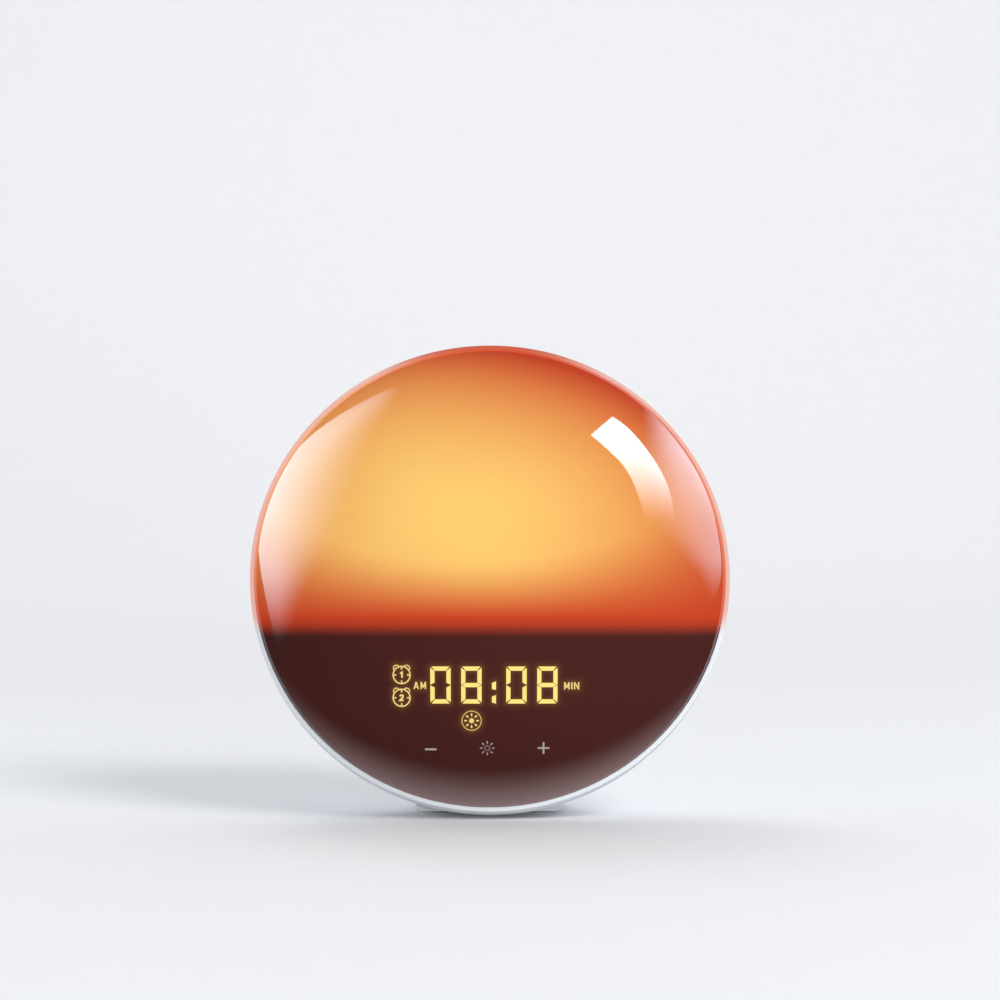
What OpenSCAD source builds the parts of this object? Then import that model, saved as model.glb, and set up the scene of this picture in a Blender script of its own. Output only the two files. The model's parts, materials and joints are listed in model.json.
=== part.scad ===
// Sunrise alarm clock: a lit dome on a round white body that leans back on a low foot.
// Millimetres. +X is to the right, the dome looks towards -Y and up, +Z is up.
// The origin is on the table, under the middle of the clock's overall width and depth.
//
// Inside the body, pieces are placed in the body frame: Z runs forward along the dome's axis from the
// front lip's plane, Y runs up the leaning face. Pieces of the display use the display frame: its
// origin is the centre of the dome's sphere, and W (its Z) runs out through the middle of the digits.

/* [Body] */
// Diameter of the round body
body_d = 175; // [165:1:190]
// Lean of the body back from upright, in degrees
lean = 16; // [12:1:19]
// Wall thickness of the white mouldings
wall = 2.2; // [2:0.1:2.6]
// Width of the straight band behind the front lip
band_w = 5; // [4:0.5:7]
// Radius of the rounded back behind the band
bowl_r = 34; // [32:0.5:35]
// Distance from the front lip back to the parting line
seam_depth = 16; // [14:0.5:18]
// Depth of the tongue that joins the two mouldings
tongue_l = 2; // [1.5:0.1:3]
// Shadow gap at the parting line
reveal = 0.4; // [0.2:0.1:0.8]
// Clearance between the belly and the table
belly_gap = 0.4; // [0.3:0.1:1.5]

/* [Dome] */
// Height of the dome over the front lip
dome_h = 52; // [48:1:56]
// Wall thickness of the dome
dome_t = 2; // [1.8:0.1:2.4]
// Width of the front lip round the dome
lip_w = 1.6; // [1.2:0.1:2]
// Depth of the seat that holds the dome's skirt
seat_depth = 3; // [2.5:0.1:4]
// Thickness of the disc across the front frame
disc_t = 2.2; // [2:0.1:3]

/* [Foot] */
// Width of the foot on the table
foot_w = 54; // [46:1:60]
// Depth of the foot from front to back
foot_l = 28; // [26:0.5:32]
// Height of the foot's heel, where its sloping top begins
heel_h = 4.5; // [4:0.1:6]
// Radius of the heel's corners, seen from above
heel_r = 8; // [4:0.5:12]
// Wall and floor thickness of the hollow foot
foot_wall = 2.2; // [1.8:0.1:3]
// Distance from the belly's lowest point back to the foot
foot_setback = 9; // [8:0.5:12]
// Radius of the foot's lower corners
foot_corner = 3.5; // [2:0.5:5]
// Thickness of each rubber pad
pad_t = 1.6; // [1.2:0.1:2]
// How far the pads stand out of the foot
pad_proud = 0.4; // [0.3:0.1:0.8]
// Width of each rubber pad
pad_w = 7; // [5:0.5:9]
// Distance from the pads to the foot's front and back
pad_inset = 0.9; // [0.8:0.1:2]
// Diameter of the two pegs that stake the foot to the case
peg_d = 6; // [5:0.5:7]
// Distance from the foot's middle line to each peg
peg_x = 15; // [12:0.5:17]

/* [Keys on the back] */
// Number of keys in the arc
key_count = 6; // [4:1:6]
// Radius of the arc of keys
key_arc_r = 40; // [39:0.5:41]
// Angle between neighbouring keys
key_pitch = 24; // [23:0.5:25]
// Length of a key cap along the arc
key_l = 12; // [10:0.5:12.5]
// Width of a key cap
key_w = 7; // [6:0.5:7.5]
// How far a cap stands out of the back
key_proud = 1; // [0.8:0.1:1.6]
// Travel of a key
key_travel = 0.5; // [0.3:0.05:0.7]
// Gap round a cap in its aperture
key_gap = 0.3; // [0.2:0.05:0.5]
// Height of a push switch's case
switch_h = 3.4; // [3:0.1:4]
// Distance from the back wall to the main board
key_stack = 7; // [7:0.1:8]

/* [Speaker] */
// Diameter of the speaker
speaker_d = 45; // [40:1:46]
// Depth of the speaker from its flange to its back plate
speaker_h = 18.5; // [17:0.5:20]
// Diameter of the speaker's magnet
magnet_d = 32; // [26:1:33]
// Diameter of a grille hole
grille_hole_d = 2.4; // [1.6:0.1:2.8]
// Distance between the grille's rings of holes
grille_pitch = 4.6; // [4.2:0.1:4.8]
// Number of rings round the middle hole
grille_rings = 4; // [2:1:4]

/* [Power and battery] */
// Diameter of the power socket's nose
jack_d = 9.2; // [8.6:0.1:10]
// Diameter of the power socket's bore
jack_bore_d = 5.8; // [5.6:0.1:6.2]
// Diameter of the power socket's centre pin
jack_pin_d = 2; // [1.6:0.05:2.4]
// Depth of the power socket's bore
jack_bore_l = 8.2; // [7.6:0.1:8.4]
// Diameter of the coin cell
cell_d = 20; // [18:0.5:21]
// Thickness of the coin cell
cell_t = 3.2; // [2.5:0.1:3.4]
// Diameter of the battery door
door_d = 24.8; // [24.4:0.1:26]
// Thickness of the battery door
door_t = 1.7; // [1.5:0.1:2]
// Turn that frees the battery door, in degrees
door_turn = 45; // [40:1:50]

/* [Screws and boards] */
// Radius of the circle of case screws
screw_circle_r = 48; // [47.5:0.1:48.5]
// Diameter of a case screw's shank
screw_d = 3; // [2.6:0.1:3.2]
// Diameter of a case screw's head
screw_head_d = 5.8; // [5.4:0.1:6.2]
// Thickness of the circuit boards
board_t = 1.6; // [1.2:0.1:2]
// Radius of the lamp's circuit board
lamp_board_r = 74; // [68:1:75]
// Side of a lamp LED
led_side = 4; // [3:0.5:5]

/* [Display] */
// Angle below the dome's axis at which the display looks out
display_angle = 30; // [28:0.5:32]
// Slant of the light baffle below the dome's axis
border_angle = 12.9; // [12:0.1:14]
// Distance from the centre of the dome's sphere down to the baffle
border_drop = 9.2; // [8.5:0.1:10]
// Thickness of the light baffle
baffle_t = 2; // [1.5:0.1:2.4]
// Width of the block of light wells
wells_w = 76; // [72:1:78]
// Height of the block of light wells
wells_h = 29.5; // [28:0.5:30]
// Thickness of that block at its corners
wells_edge = 4; // [3:0.5:5]
// Height of a digit
digit_h = 14; // [12:0.1:14.5]
// Width of a digit
digit_w = 7.7; // [6.5:0.1:8.5]
// Distance between the two digits of a pair
digit_pitch = 10.75; // [10:0.05:11]
// Width of a digit's strokes
stroke = 1.8; // [1.2:0.1:2]
// Distance from the block of light wells down to the row of touch keys
touch_drop = 4.9; // [4.5:0.1:6]
// Distance from the middle touch key to its neighbours
touch_pitch = 19.75; // [18:0.05:22]

/* [Hidden] */
$fn = 96;
eps = 0.01;       // overlap of the shapes inside one union
slip = 0.1;       // radial clearance of pieces that slide into each other
over = 1;         // how far a cutting shape runs past the face it cuts

// Colours
white_abs = [0.93, 0.93, 0.93];
amber = [0.95, 0.62, 0.28];
key_grey = [0.80, 0.81, 0.83];
foot_grey = [0.70, 0.72, 0.74];
board_green = [0.10, 0.35, 0.20];
steel = [0.72, 0.72, 0.75];
black_plastic = [0.10, 0.10, 0.11];
rubber_grey = [0.45, 0.46, 0.48];

// ---- Outer form ----
body_r = body_d / 2;
flat_r = body_r - bowl_r;               // radius of the flat at the back
body_depth = band_w + bowl_r;           // from the front lip to the back
z_out = -body_depth;                    // outer face of the back
z_in = z_out + wall;                    // inner face of the back
lip_fillet = 0.6;

// Radius of the skin, or of a surface inset from it, at depth z behind the front lip
function skin_r(z, inset = 0) = flat_r + sqrt(pow(bowl_r - inset, 2) - pow(z - band_w, 2));

// How far down and how far back the skin reaches from the body frame's origin
drop = flat_r * cos(lean) + band_w * sin(lean) + bowl_r;
reach_back = flat_r * sin(lean) + band_w * cos(lean) + bowl_r;
belly_y = band_w * cos(lean) - flat_r * sin(lean);   // the belly's lowest point

// ---- Dome ----
dome_r = body_r - lip_w;
dome_rho = (dome_r * dome_r + dome_h * dome_h) / (2 * dome_h);   // radius of the sphere
dome_z = dome_h - dome_rho;                                      // its centre
dome_in = dome_rho - dome_t;                                     // inner radius
rim_in_r = sqrt(dome_in * dome_in - dome_z * dome_z);            // inner radius at the lip's plane
seat_z = -seat_depth;
disc_back = seat_z - disc_t;
skin_gap = 0.5;                          // between the dome and what reaches up to it

// ---- Placing ----
axis_z = drop + belly_gap;               // height of the body frame's origin
reach_front = dome_rho + dome_z * cos(lean);
axis_y = (reach_front - reach_back) / 2;
foot_front = axis_y + belly_y + foot_setback;

module in_body() {
  translate([0, axis_y, axis_z]) rotate([90 - lean, 0, 0]) children();
}
module in_display() {
  in_body() translate([0, 0, dome_z]) rotate([display_angle, 0, 0]) children();
}
// Turns the children to a place on the back, with local X pointing away from the axis
module on_back(r, a) {
  rotate([0, 0, a]) translate([r, 0, 0]) children();
}
// A slot outline, l long in Y and w wide in X
module obround(w, l) {
  square([w, l - w], center = true);
  for (s = [-1, 1]) translate([0, s * (l - w) / 2]) circle(d = w);
}
// A ring
module tube(r_out, r_in, h) {
  difference() {
    cylinder(r = r_out, h = h);
    translate([0, 0, -over]) cylinder(r = r_in, h = h + 2 * over);
  }
}
// A screw along +Z from the seat of its head at z = 0
module screw(shank_d, head_d, head_h, l) {
  difference() {
    union() {
      translate([0, 0, -eps]) cylinder(d = shank_d, h = l + eps);
      translate([0, 0, -head_h]) cylinder(d = head_d, h = head_h);
    }
    for (a = [0, 90]) rotate([0, 0, a])
      translate([-head_d * 0.32, -head_d * 0.07, -head_h - over])
        cube([head_d * 0.64, head_d * 0.14, over + head_h * 0.5]);
  }
}

// ---- Dome, frame and case ----
// Half section of the dome's form: a sphere above the lip's plane, a straight skirt below it
module dome_section(rho, r, z) {
  intersection() {
    translate([0, dome_z]) circle(rho);
    translate([0, z]) square([r, dome_h + over - z]);
  }
}
module dome() {
  color(amber, 0.75) in_body() rotate_extrude() difference() {
    dome_section(dome_rho, dome_r, seat_z);
    dome_section(dome_in, rim_in_r, seat_z - over);
  }
}

// Half section of the body's form, inset from the skin, from the front lip to the back
module body_section(inset) {
  translate([0, -band_w]) square([body_r - inset, band_w]);
  translate([0, z_out + inset]) square([flat_r, bowl_r - inset]);
  intersection() {
    translate([flat_r, -band_w]) circle(bowl_r - inset);
    translate([flat_r, z_out + inset]) square([bowl_r - inset, bowl_r - inset]);
  }
}
// Half section between two depths behind the front lip
module between(z_front, z_back, r = body_r + over) {
  translate([0, -z_back]) square([r, z_back - z_front]);
}

seam_r = skin_r(seam_depth);             // skin radius at the parting line
lap_r = seam_r - wall * 0.4;             // the lap joint's radius
frame_boss_l = 9;
frame_boss_d = 8;
boss_end = disc_back - frame_boss_l;
screw_angles = [90, 12, 168, 215, 325];
screw_floor = 3;                         // under each case screw's head
screw_bite = 7;                          // thread in the boss
lead_hole_r = 4;

module frame_section() {
  difference() {
    intersection() {
      body_section(0);
      between(0, seam_depth);
    }
    intersection() {                     // the hollow behind the disc
      body_section(wall);
      between(-disc_back, seam_depth + over);
    }
    between(seam_depth - tongue_l, seam_depth + over, lap_r);
    between(-over, seat_depth, dome_r + slip);
    difference() {                       // the rounded edge of the lip
      translate([body_r - lip_fillet, -lip_fillet]) square(lip_fillet + over);
      translate([body_r - lip_fillet, -lip_fillet]) circle(lip_fillet);
    }
  }
}

module front_frame() {
  color(white_abs) in_body() difference() {
    union() {
      rotate_extrude() frame_section();
      for (a = screw_angles) on_back(screw_circle_r, a)
        translate([0, 0, boss_end]) cylinder(d = frame_boss_d, h = frame_boss_l + eps);
    }
    for (a = screw_angles) on_back(screw_circle_r, a)
      translate([0, 0, boss_end - over]) cylinder(d = screw_d + slip, h = screw_bite + 1 + over);
    for (p = [lamp_hole, display_hole])
      translate([p.x, p.y, disc_back - over]) cylinder(r = lead_hole_r, h = disc_t + 2 * over);
    for (a = lamp_screw_angles) on_back(lamp_screw_r, a)
      translate([0, 0, disc_back - over]) cylinder(d = small_screw_d + slip, h = disc_t + 2 * over);
    for (p = display_feet)
      translate([p.x, p.y, disc_back - over]) cylinder(d = small_screw_d + slip, h = disc_t + 2 * over);
  }
}

tube_d = frame_boss_d + 1;

module case_section() {
  difference() {
    union() {
      intersection() {
        body_section(0);
        between(seam_depth + reveal, body_depth);
      }
      between(seam_depth - tongue_l + slip, seam_depth + 2 * reveal, lap_r - slip);
    }
    body_section(wall);
  }
}

// Places of the pieces on the back, seen in the body frame
battery_at = [0, -39.5];
jack_at = [25, -40];
post_r = 37;                   // circle of the posts that carry the main board
post_angles = [0, 180, 232];
post_d = 6;
small_screw_d = 2;
small_head_d = 4;
small_head_h = 1.4;
speaker_r = speaker_d / 2;
speaker_boss_d = 5.2;
speaker_boss_r = speaker_r + speaker_boss_d / 2 + 0.3;
gasket_t = 0.8;
flange_t = 1;
z_board = z_in + key_stack;    // rear face of the main board

ledge_z = z_out + door_t + slip;            // the door rests here
cup_clear = 0.6;                            // round the cell
contact_t = 0.4;
contact_rise = 0.8;
pocket_z = ledge_z + cell_t + contact_rise; // floor of the battery pocket
cup_wall = 1.6;
cup_floor = 1;
lug_reach = 1.2;
lug_t = 0.7;
lug_half = 14;                              // half the angle that a lug covers
lug_angles = [90, 210, 330];
door_slip = 0.25;
groove_r = door_d / 2 + lug_reach + door_slip;

module key_apertures() {
  for (i = [1:key_count]) at_key(i) translate([0, 0, z_out - over])
    linear_extrude(wall + 2 * over) obround(key_w + 2 * key_gap, key_l + 2 * key_gap);
}
module at_key(i) {
  on_back(key_arc_r, 90 - (i - (key_count + 1) / 2) * key_pitch) children();
}
module grille_holes() {
  translate([0, 0, z_out - over]) {
    cylinder(d = grille_hole_d, h = wall + 2 * over);
    for (ring = [1:grille_rings], k = [0:6 * ring - 1])
      on_back(ring * grille_pitch, k * 60 / ring)
        cylinder(d = grille_hole_d, h = wall + 2 * over);
  }
}
// A wedge of a disc about angle a
module wedge(r, h, a, half) {
  intersection() {
    cylinder(r = r, h = h);
    rotate([0, 0, a]) linear_extrude(h)
      polygon([[0, 0], 1.5 * r * [cos(half), -sin(half)], 1.5 * r * [cos(half), sin(half)]]);
  }
}
module battery_pocket() {
  translate([battery_at.x, battery_at.y, 0]) {
    translate([0, 0, z_out - over]) cylinder(d = door_d + 2 * door_slip, h = ledge_z - z_out + over);
    translate([0, 0, ledge_z - lug_t - 2 * slip])
      cylinder(r = groove_r, h = lug_t + 2 * slip);
    translate([0, 0, z_out - over])
      cylinder(d = cell_d + 2 * cup_clear, h = pocket_z - z_out + over);
    for (a = lug_angles) translate([0, 0, z_out - over])
      wedge(groove_r, ledge_z - z_out - lug_t, a - door_turn, lug_half + 3);
  }
}

module rear_case() {
  color(white_abs) in_body() difference() {
    union() {
      rotate_extrude() case_section();
      foot_bosses();
      for (a = screw_angles) on_back(screw_circle_r, a)
        translate([0, 0, z_in - eps]) cylinder(d = tube_d, h = boss_end - z_in + eps);
      for (a = post_angles) on_back(post_r, a)
        translate([0, 0, z_in - eps]) cylinder(d = post_d, h = key_stack + eps);
      for (k = [0:3]) on_back(speaker_boss_r, 45 + 90 * k)
        translate([0, 0, z_in - eps]) cylinder(d = speaker_boss_d, h = gasket_t + flange_t + eps);
      translate([battery_at.x, battery_at.y, z_in - eps])
        cylinder(r = groove_r + cup_wall, h = pocket_z + cup_floor - z_in + eps);
      translate([jack_at.x, jack_at.y, z_in - eps]) cylinder(d = jack_d + 3, h = 1.5);
    }
    for (a = screw_angles) on_back(screw_circle_r, a) {
      translate([0, 0, z_out - over])
        cylinder(d = screw_head_d + 0.8, h = boss_end - screw_floor - z_out + over);
      translate([0, 0, z_out]) cylinder(d = screw_d + 0.4, h = boss_end - z_out + over);
    }
    for (a = post_angles) on_back(post_r, a)
      translate([0, 0, z_in + 1]) cylinder(d = small_screw_d + slip, h = key_stack + over);
    for (k = [0:3]) on_back(speaker_boss_r, 45 + 90 * k)
      translate([0, 0, z_in - 1]) cylinder(d = small_screw_d + slip, h = gasket_t + flange_t + 1 + over);
    translate([jack_at.x, jack_at.y, z_out - over]) cylinder(d = jack_d + 2 * slip, h = wall + 3 + over);
    key_apertures();
    grille_holes();
    battery_pocket();
    peg_bores();
  }
}

// ---- Case screws ----
module case_screws() {
  color(steel) in_body() for (a = screw_angles) on_back(screw_circle_r, a)
    translate([0, 0, boss_end - screw_floor]) screw(screw_d, screw_head_d, 2.2, screw_floor + screw_bite);
}

// ---- Foot ----
foot_back = foot_front + foot_l;
foot_top = 22;                           // above where the body cuts the foot's top
foot_flare = 0.12;                       // how fast the ends widen with height
foot_floor = pad_t + foot_wall;          // the hollow begins here
peg_y = foot_front + 8;
peg_boss_d = peg_d + 4.5;
peg_reach = peg_y - axis_y - belly_y + peg_boss_d / 2;    // from the belly's lowest point back
// Height of the boss inside the case that a peg is staked to
peg_seat = belly_gap + bowl_r - sqrt(pow(bowl_r, 2) - pow(peg_reach, 2)) + 5.5;
stake_h = 1.2;
stake_d = peg_d + 2.5;

// One rounded lower corner of the foot's front view, s is the side
function foot_corner_arc(s, inset) = [
  for (i = [0:8]) let (a = s > 0 ? -90 + 85 * i / 8 : -5 - 85 * i / 8)
  [s * (foot_w / 2 - foot_corner + (foot_corner - inset) * cos(a)),
   pad_proud + foot_corner + (foot_corner - inset) * sin(a)]
];
module foot_block(inset, z0) {
  slope = foot_back + heel_h - inset * sqrt(2);       // y + z on the sloping top
  half = foot_w / 2 - inset + foot_flare * (foot_top - pad_proud - foot_corner);
  intersection() {
    translate([0, foot_back + over, 0]) rotate([90, 0, 0]) linear_extrude(foot_l + 2 * over) polygon(concat(
      foot_corner_arc(1, inset), [[half, foot_top], [-half, foot_top]], foot_corner_arc(-1, inset)
    ));
    rotate([90, 0, 90]) translate([0, 0, -foot_w]) linear_extrude(2 * foot_w) polygon([
      [foot_front + inset, z0], [min(foot_back - inset, slope - z0), z0],
      [foot_back - inset, max(heel_h - 0.41 * inset, z0)], [slope - foot_top, foot_top],
      [foot_front + inset, foot_top]
    ]);
    linear_extrude(foot_top) difference() {
      translate([-foot_w, foot_front - over]) square([2 * foot_w, foot_l + 2 * over]);
      for (s = [0, 1]) mirror([s, 0]) translate([foot_w / 2 - heel_r, foot_back - heel_r]) difference() {
        square(foot_w);
        circle(heel_r - inset);
      }
    }
  }
}
// The body's outer form as one solid, grown by a clearance
module body_form(gap) {
  in_body() rotate_extrude() body_section(-gap);
}
module at_pegs() {
  for (s = [-1, 1]) translate([s * peg_x, peg_y, 0]) children();
}
// Places what is given in the part's own frame among the pieces of the body frame
module out_of_body() {
  rotate([lean - 90, 0, 0]) translate([0, -axis_y, -axis_z]) children();
}
module foot_bosses() {
  intersection() {
    out_of_body() at_pegs() cylinder(d = peg_boss_d, h = peg_seat);
    rotate_extrude() body_section(wall / 2);
  }
}
module peg_bores() {
  out_of_body() at_pegs() cylinder(d = peg_d + 2 * slip, h = peg_seat + over);
}
module foot() {
  color(foot_grey) difference() {
    union() {
      difference() {
        foot_block(0, 0);
        body_form(slip);
        difference() {
          foot_block(foot_wall, foot_floor);
          at_pegs() cylinder(d = peg_d + 3, h = foot_top);
        }
      }
      at_pegs() {
        translate([0, 0, foot_floor - over]) cylinder(d = peg_d, h = peg_seat - foot_floor + over + eps);
        translate([0, 0, peg_seat]) cylinder(d = stake_d, h = stake_h);
      }
    }
    pad_slots(0.1, over);
  }
}
pad_rows = [foot_front + pad_w / 2 + pad_inset, foot_back - pad_w / 2 - pad_inset - 1];
pad_l = foot_w - 2 * foot_corner - 3;
module pad_slots(gap, below) {
  for (y = pad_rows) translate([0, y, pad_proud - below])
    linear_extrude(pad_t - pad_proud + below) rotate(90) obround(pad_w + 2 * gap, pad_l + 2 * gap);
}
module foot_pads() {
  color(rubber_grey) pad_slots(0, pad_proud);
}

// ---- Lamp ----
disc_depth = seat_z - dome_z;                             // from the sphere's centre to the disc's front
// The baffle's top face meets the disc at this height
baffle_foot_y = -disc_depth * tan(border_angle) - border_drop / cos(border_angle);
lamp_floor = baffle_foot_y + 3;                           // lower edge of the lamp's board
lamp_screw_r = lamp_board_r - 4.5;
lamp_screw_angles = [28, 90, 152];
lamp_hole = [34, lamp_floor + 26];                        // its leads pass through the disc here
led_arcs = [[22, 5], [42, 9], [62, 13]];                  // radius and number of LEDs of each arc
led_h = 1.4;
led_t = 12;                                               // first and last LED's angle above level

// The baffle's top face lies in the plane y = 0 of this frame
module in_baffle() {
  in_body() translate([0, 0, dome_z]) rotate([border_angle, 0, 0]) translate([0, -border_drop, 0]) children();
}
// Cuts what is inside the dome to its inner face and to the disc's front
module under_dome() {
  intersection() {
    children();
    in_display() sphere(dome_in - skin_gap);
    in_body() translate([0, 0, seat_z]) cylinder(r = rim_in_r - skin_gap, h = dome_h);
  }
}
module light_baffle() {
  color(white_abs) under_dome() in_baffle()
    translate([-body_r, -baffle_t, 0]) cube([body_d, baffle_t, dome_rho]);
}
module lamp_board() {
  color(white_abs) in_body() difference() {
    intersection() {
      translate([0, 0, seat_z]) cylinder(r = lamp_board_r, h = board_t);
      translate([-body_r, lamp_floor, seat_z]) cube([body_d, body_r, board_t]);
    }
    for (a = lamp_screw_angles) on_back(lamp_screw_r, a)
      translate([0, 0, seat_z - over]) cylinder(d = small_screw_d + 0.4, h = board_t + 2 * over);
  }
}
module lamp_leds() {
  color([0.98, 0.90, 0.62]) in_body() for (row = led_arcs, k = [0:row[1] - 1])
    on_back(row[0], led_t + k * (180 - 2 * led_t) / (row[1] - 1))
      translate([0, 0, seat_z + board_t]) difference() {
        translate([-led_side / 2, -led_side / 2, 0]) cube([led_side, led_side, led_h]);
        translate([0, 0, led_h - 0.3]) cylinder(d1 = led_side * 0.6, d2 = led_side * 0.8, h = 0.3 + eps);
      }
}
module lamp_screws() {
  color(steel) in_body() for (a = lamp_screw_angles) on_back(lamp_screw_r, a)
    translate([0, 0, seat_z + board_t]) mirror([0, 0, 1])
      screw(small_screw_d, small_head_d, small_head_h, board_t + disc_t + 2);
}

// ---- Display ----
wells_v0 = -20.5;                                     // lower edge of the block of wells
wells_v1 = wells_v0 + wells_h;
wells_gap = 0.3;                                      // between the block and the dome
corner_reach = sqrt(pow(wells_w / 2, 2) + pow(max(-wells_v0, wells_v1), 2));
board_face = sqrt(pow(dome_in, 2) - pow(corner_reach, 2)) - wells_gap - wells_edge;
board_w = board_face - board_t;                       // rear face of the display board
touch_v = wells_v0 - touch_drop;
touch_shift = -0.8;                                   // of the touch keys, from the middle
housing_wall = 1.5;
housing_u = wells_w / 2 + 0.6;
housing_v1 = wells_v1 + 0.6;
housing_v0 = touch_v - 8;                             // room for the springs and the board's edge
housing_top_y = baffle_foot_y - baffle_t / cos(border_angle);
ear_d = 8;
ear_t = 2.5;
ear_x = housing_u + housing_wall + ear_d / 2 - 1;
low_ear = 14;                                         // from the tray's lower edge up to the lower ears
top_ear = 10.5;                                       // from the baffle down to the upper ears
// Where a line at height v in the display frame, along W, meets the front of the disc
function disc_y(v) = (v - disc_depth * sin(display_angle)) / cos(display_angle);
ear_rows = [disc_y(housing_v0) + low_ear, housing_top_y - top_ear];
display_feet = [for (s = [-1, 1], y = ear_rows) [s * ear_x, y]];
// The display's leads pass through the disc here
display_hole = [-20, (disc_y(housing_v0) + housing_top_y) / 2];

module display_box(grow, w0) {
  translate([-housing_u - grow, housing_v0 - grow, w0])
    cube([2 * (housing_u + grow), dome_r + grow, dome_rho + over]);
}
// Everything above the baffle's lower face
module above_baffle(gap) {
  in_baffle() translate([-body_r, -baffle_t - gap, -over]) cube([body_d, body_r, dome_rho + 2 * over]);
}
// A tray round the display: three walls, the baffle closes the fourth side
module display_housing() {
  color(black_plastic) difference() {
    union() {
      under_dome() in_display() difference() {
        display_box(housing_wall, 0);
        display_box(0, -over);
      }
      // posts in the corners carry the display board
      under_dome() in_display() for (u = [-1, 1], v = [housing_v0 + 3, housing_v1 - 3])
        translate([u * (housing_u - 3) - 3.05, v - 3.05, 0]) cube([6.1, 6.1, board_w]);
      in_body() for (p = display_feet) {
        translate([p.x, p.y, seat_z]) cylinder(d = ear_d, h = ear_t);
        translate([p.x > 0 ? housing_u + housing_wall - 0.1 : p.x, p.y - ear_d / 2, seat_z])
          cube([abs(p.x) - housing_u - housing_wall + 0.1, ear_d, ear_t]);
      }
    }
    in_body() for (p = display_feet)
      translate([p.x, p.y, seat_z - over]) cylinder(d = small_screw_d + 0.4, h = ear_t + 2 * over);
    above_baffle(slip);
  }
}
module display_screws() {
  color(steel) in_body() for (p = display_feet)
    translate([p.x, p.y, seat_z + ear_t]) mirror([0, 0, 1])
      screw(small_screw_d, small_head_d, small_head_h, ear_t + disc_t);
}

// What the display shows, drawn flat: seven segments a digit, two dots, three round symbols, two words
stroke_gap = 0.22;                                    // half of the bridge between two segments
digits_shift = 1.6;                                   // of the whole time, from the middle
digit_v = -1.2;
pair_gap = 15.6;                                      // between the inner digits' middles
digit_places = [for (s = [-1, 1], k = [0, 1]) digits_shift + s * (pair_gap / 2 + k * digit_pitch)];
symbol_places = [[-30.5, 1.1], [-30.5, -7.5], [-6.2, -14.6]];
symbol_r = 3.9;
word_places = [[-24.2, -2.5, 5], [28.7, -2.9, 6.4]];  // middle and length
word_h = 2.6;
dot_places = [-1.5, -6.5];
dot_w = 2;
dot_h = 3.3;

module digit_segments() {
  a = digit_w / 2;
  b = digit_h / 2;
  g = stroke_gap;
  for (s = [-1, 1]) {
    polygon([[-a + g, s * b], [a - g, s * b], [a - stroke - g, s * (b - stroke)],
             [-a + stroke + g, s * (b - stroke)]]);
    for (t = [-1, 1])
      polygon([[t * a, s * (b - g)], [t * a, s * g], [t * (a - stroke), s * (stroke / 2 + g)],
               [t * (a - stroke), s * (b - stroke - g)]]);
  }
  polygon([[-a + 2 * g, 0], [-a + stroke + g, stroke / 2], [a - stroke - g, stroke / 2],
           [a - 2 * g, 0], [a - stroke - g, -stroke / 2], [-a + stroke + g, -stroke / 2]]);
}
module display_pattern() {
  for (u = digit_places) translate([u, digit_v]) digit_segments();
  for (v = dot_places) translate([digits_shift - dot_w / 2, v - dot_h / 2]) square([dot_w, dot_h]);
  for (p = symbol_places) translate(p) circle(symbol_r);
  for (p = word_places) translate([p.x - p.z / 2, p.y - word_h / 2]) square([p.z, word_h]);
}
// The block's front follows the dome, and each well carries light from its LED to the skin
module light_wells() {
  color(black_plastic) intersection() {
    in_display() sphere(dome_in - wells_gap);
    in_display() difference() {
      translate([-wells_w / 2, wells_v0, board_face]) cube([wells_w, wells_h, dome_in - board_face]);
      translate([0, 0, board_face - over])
        linear_extrude(dome_in - board_face + 2 * over) display_pattern();
    }
  }
}
chip_l = 1.6;
chip_w = 0.8;
chip_h = 0.6;
module led_chip(u, v, turn = 0) {
  translate([u, v, board_face]) rotate([0, 0, turn]) translate([-chip_l / 2, -chip_w / 2, 0])
    cube([chip_l, chip_w, chip_h]);
}
module display_leds() {
  color([0.98, 0.90, 0.62]) in_display() {
    for (u = digit_places) {
      for (k = [-1, 0, 1]) led_chip(u, digit_v + k * (digit_h - stroke * abs(k)) / 2);
      for (s = [-1, 1], t = [-1, 1])
        led_chip(u + s * (digit_w - stroke) / 2, digit_v + t * digit_h / 4, 90);
    }
    for (v = dot_places) led_chip(digits_shift, v, 90);
    for (p = symbol_places) led_chip(p.x, p.y);
    for (p = word_places) led_chip(p.x, p.y);
  }
}
module display_board() {
  color(board_green) in_display() translate([-housing_u + 0.2, housing_v0 + 0.2, board_w])
    cube([2 * housing_u - 0.4, housing_v1 - housing_v0 - 0.4, board_t]);
}
// Coil springs that carry the touch signal from the board to the dome
spring_r = 3;
spring_wire_r = 0.35;
spring_turns = 6;
spring_steps = 10;                                    // rings of the wire for each turn
spring_sides = 6;
touch_u = [for (k = [-1, 0, 1]) touch_shift + k * touch_pitch];

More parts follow.
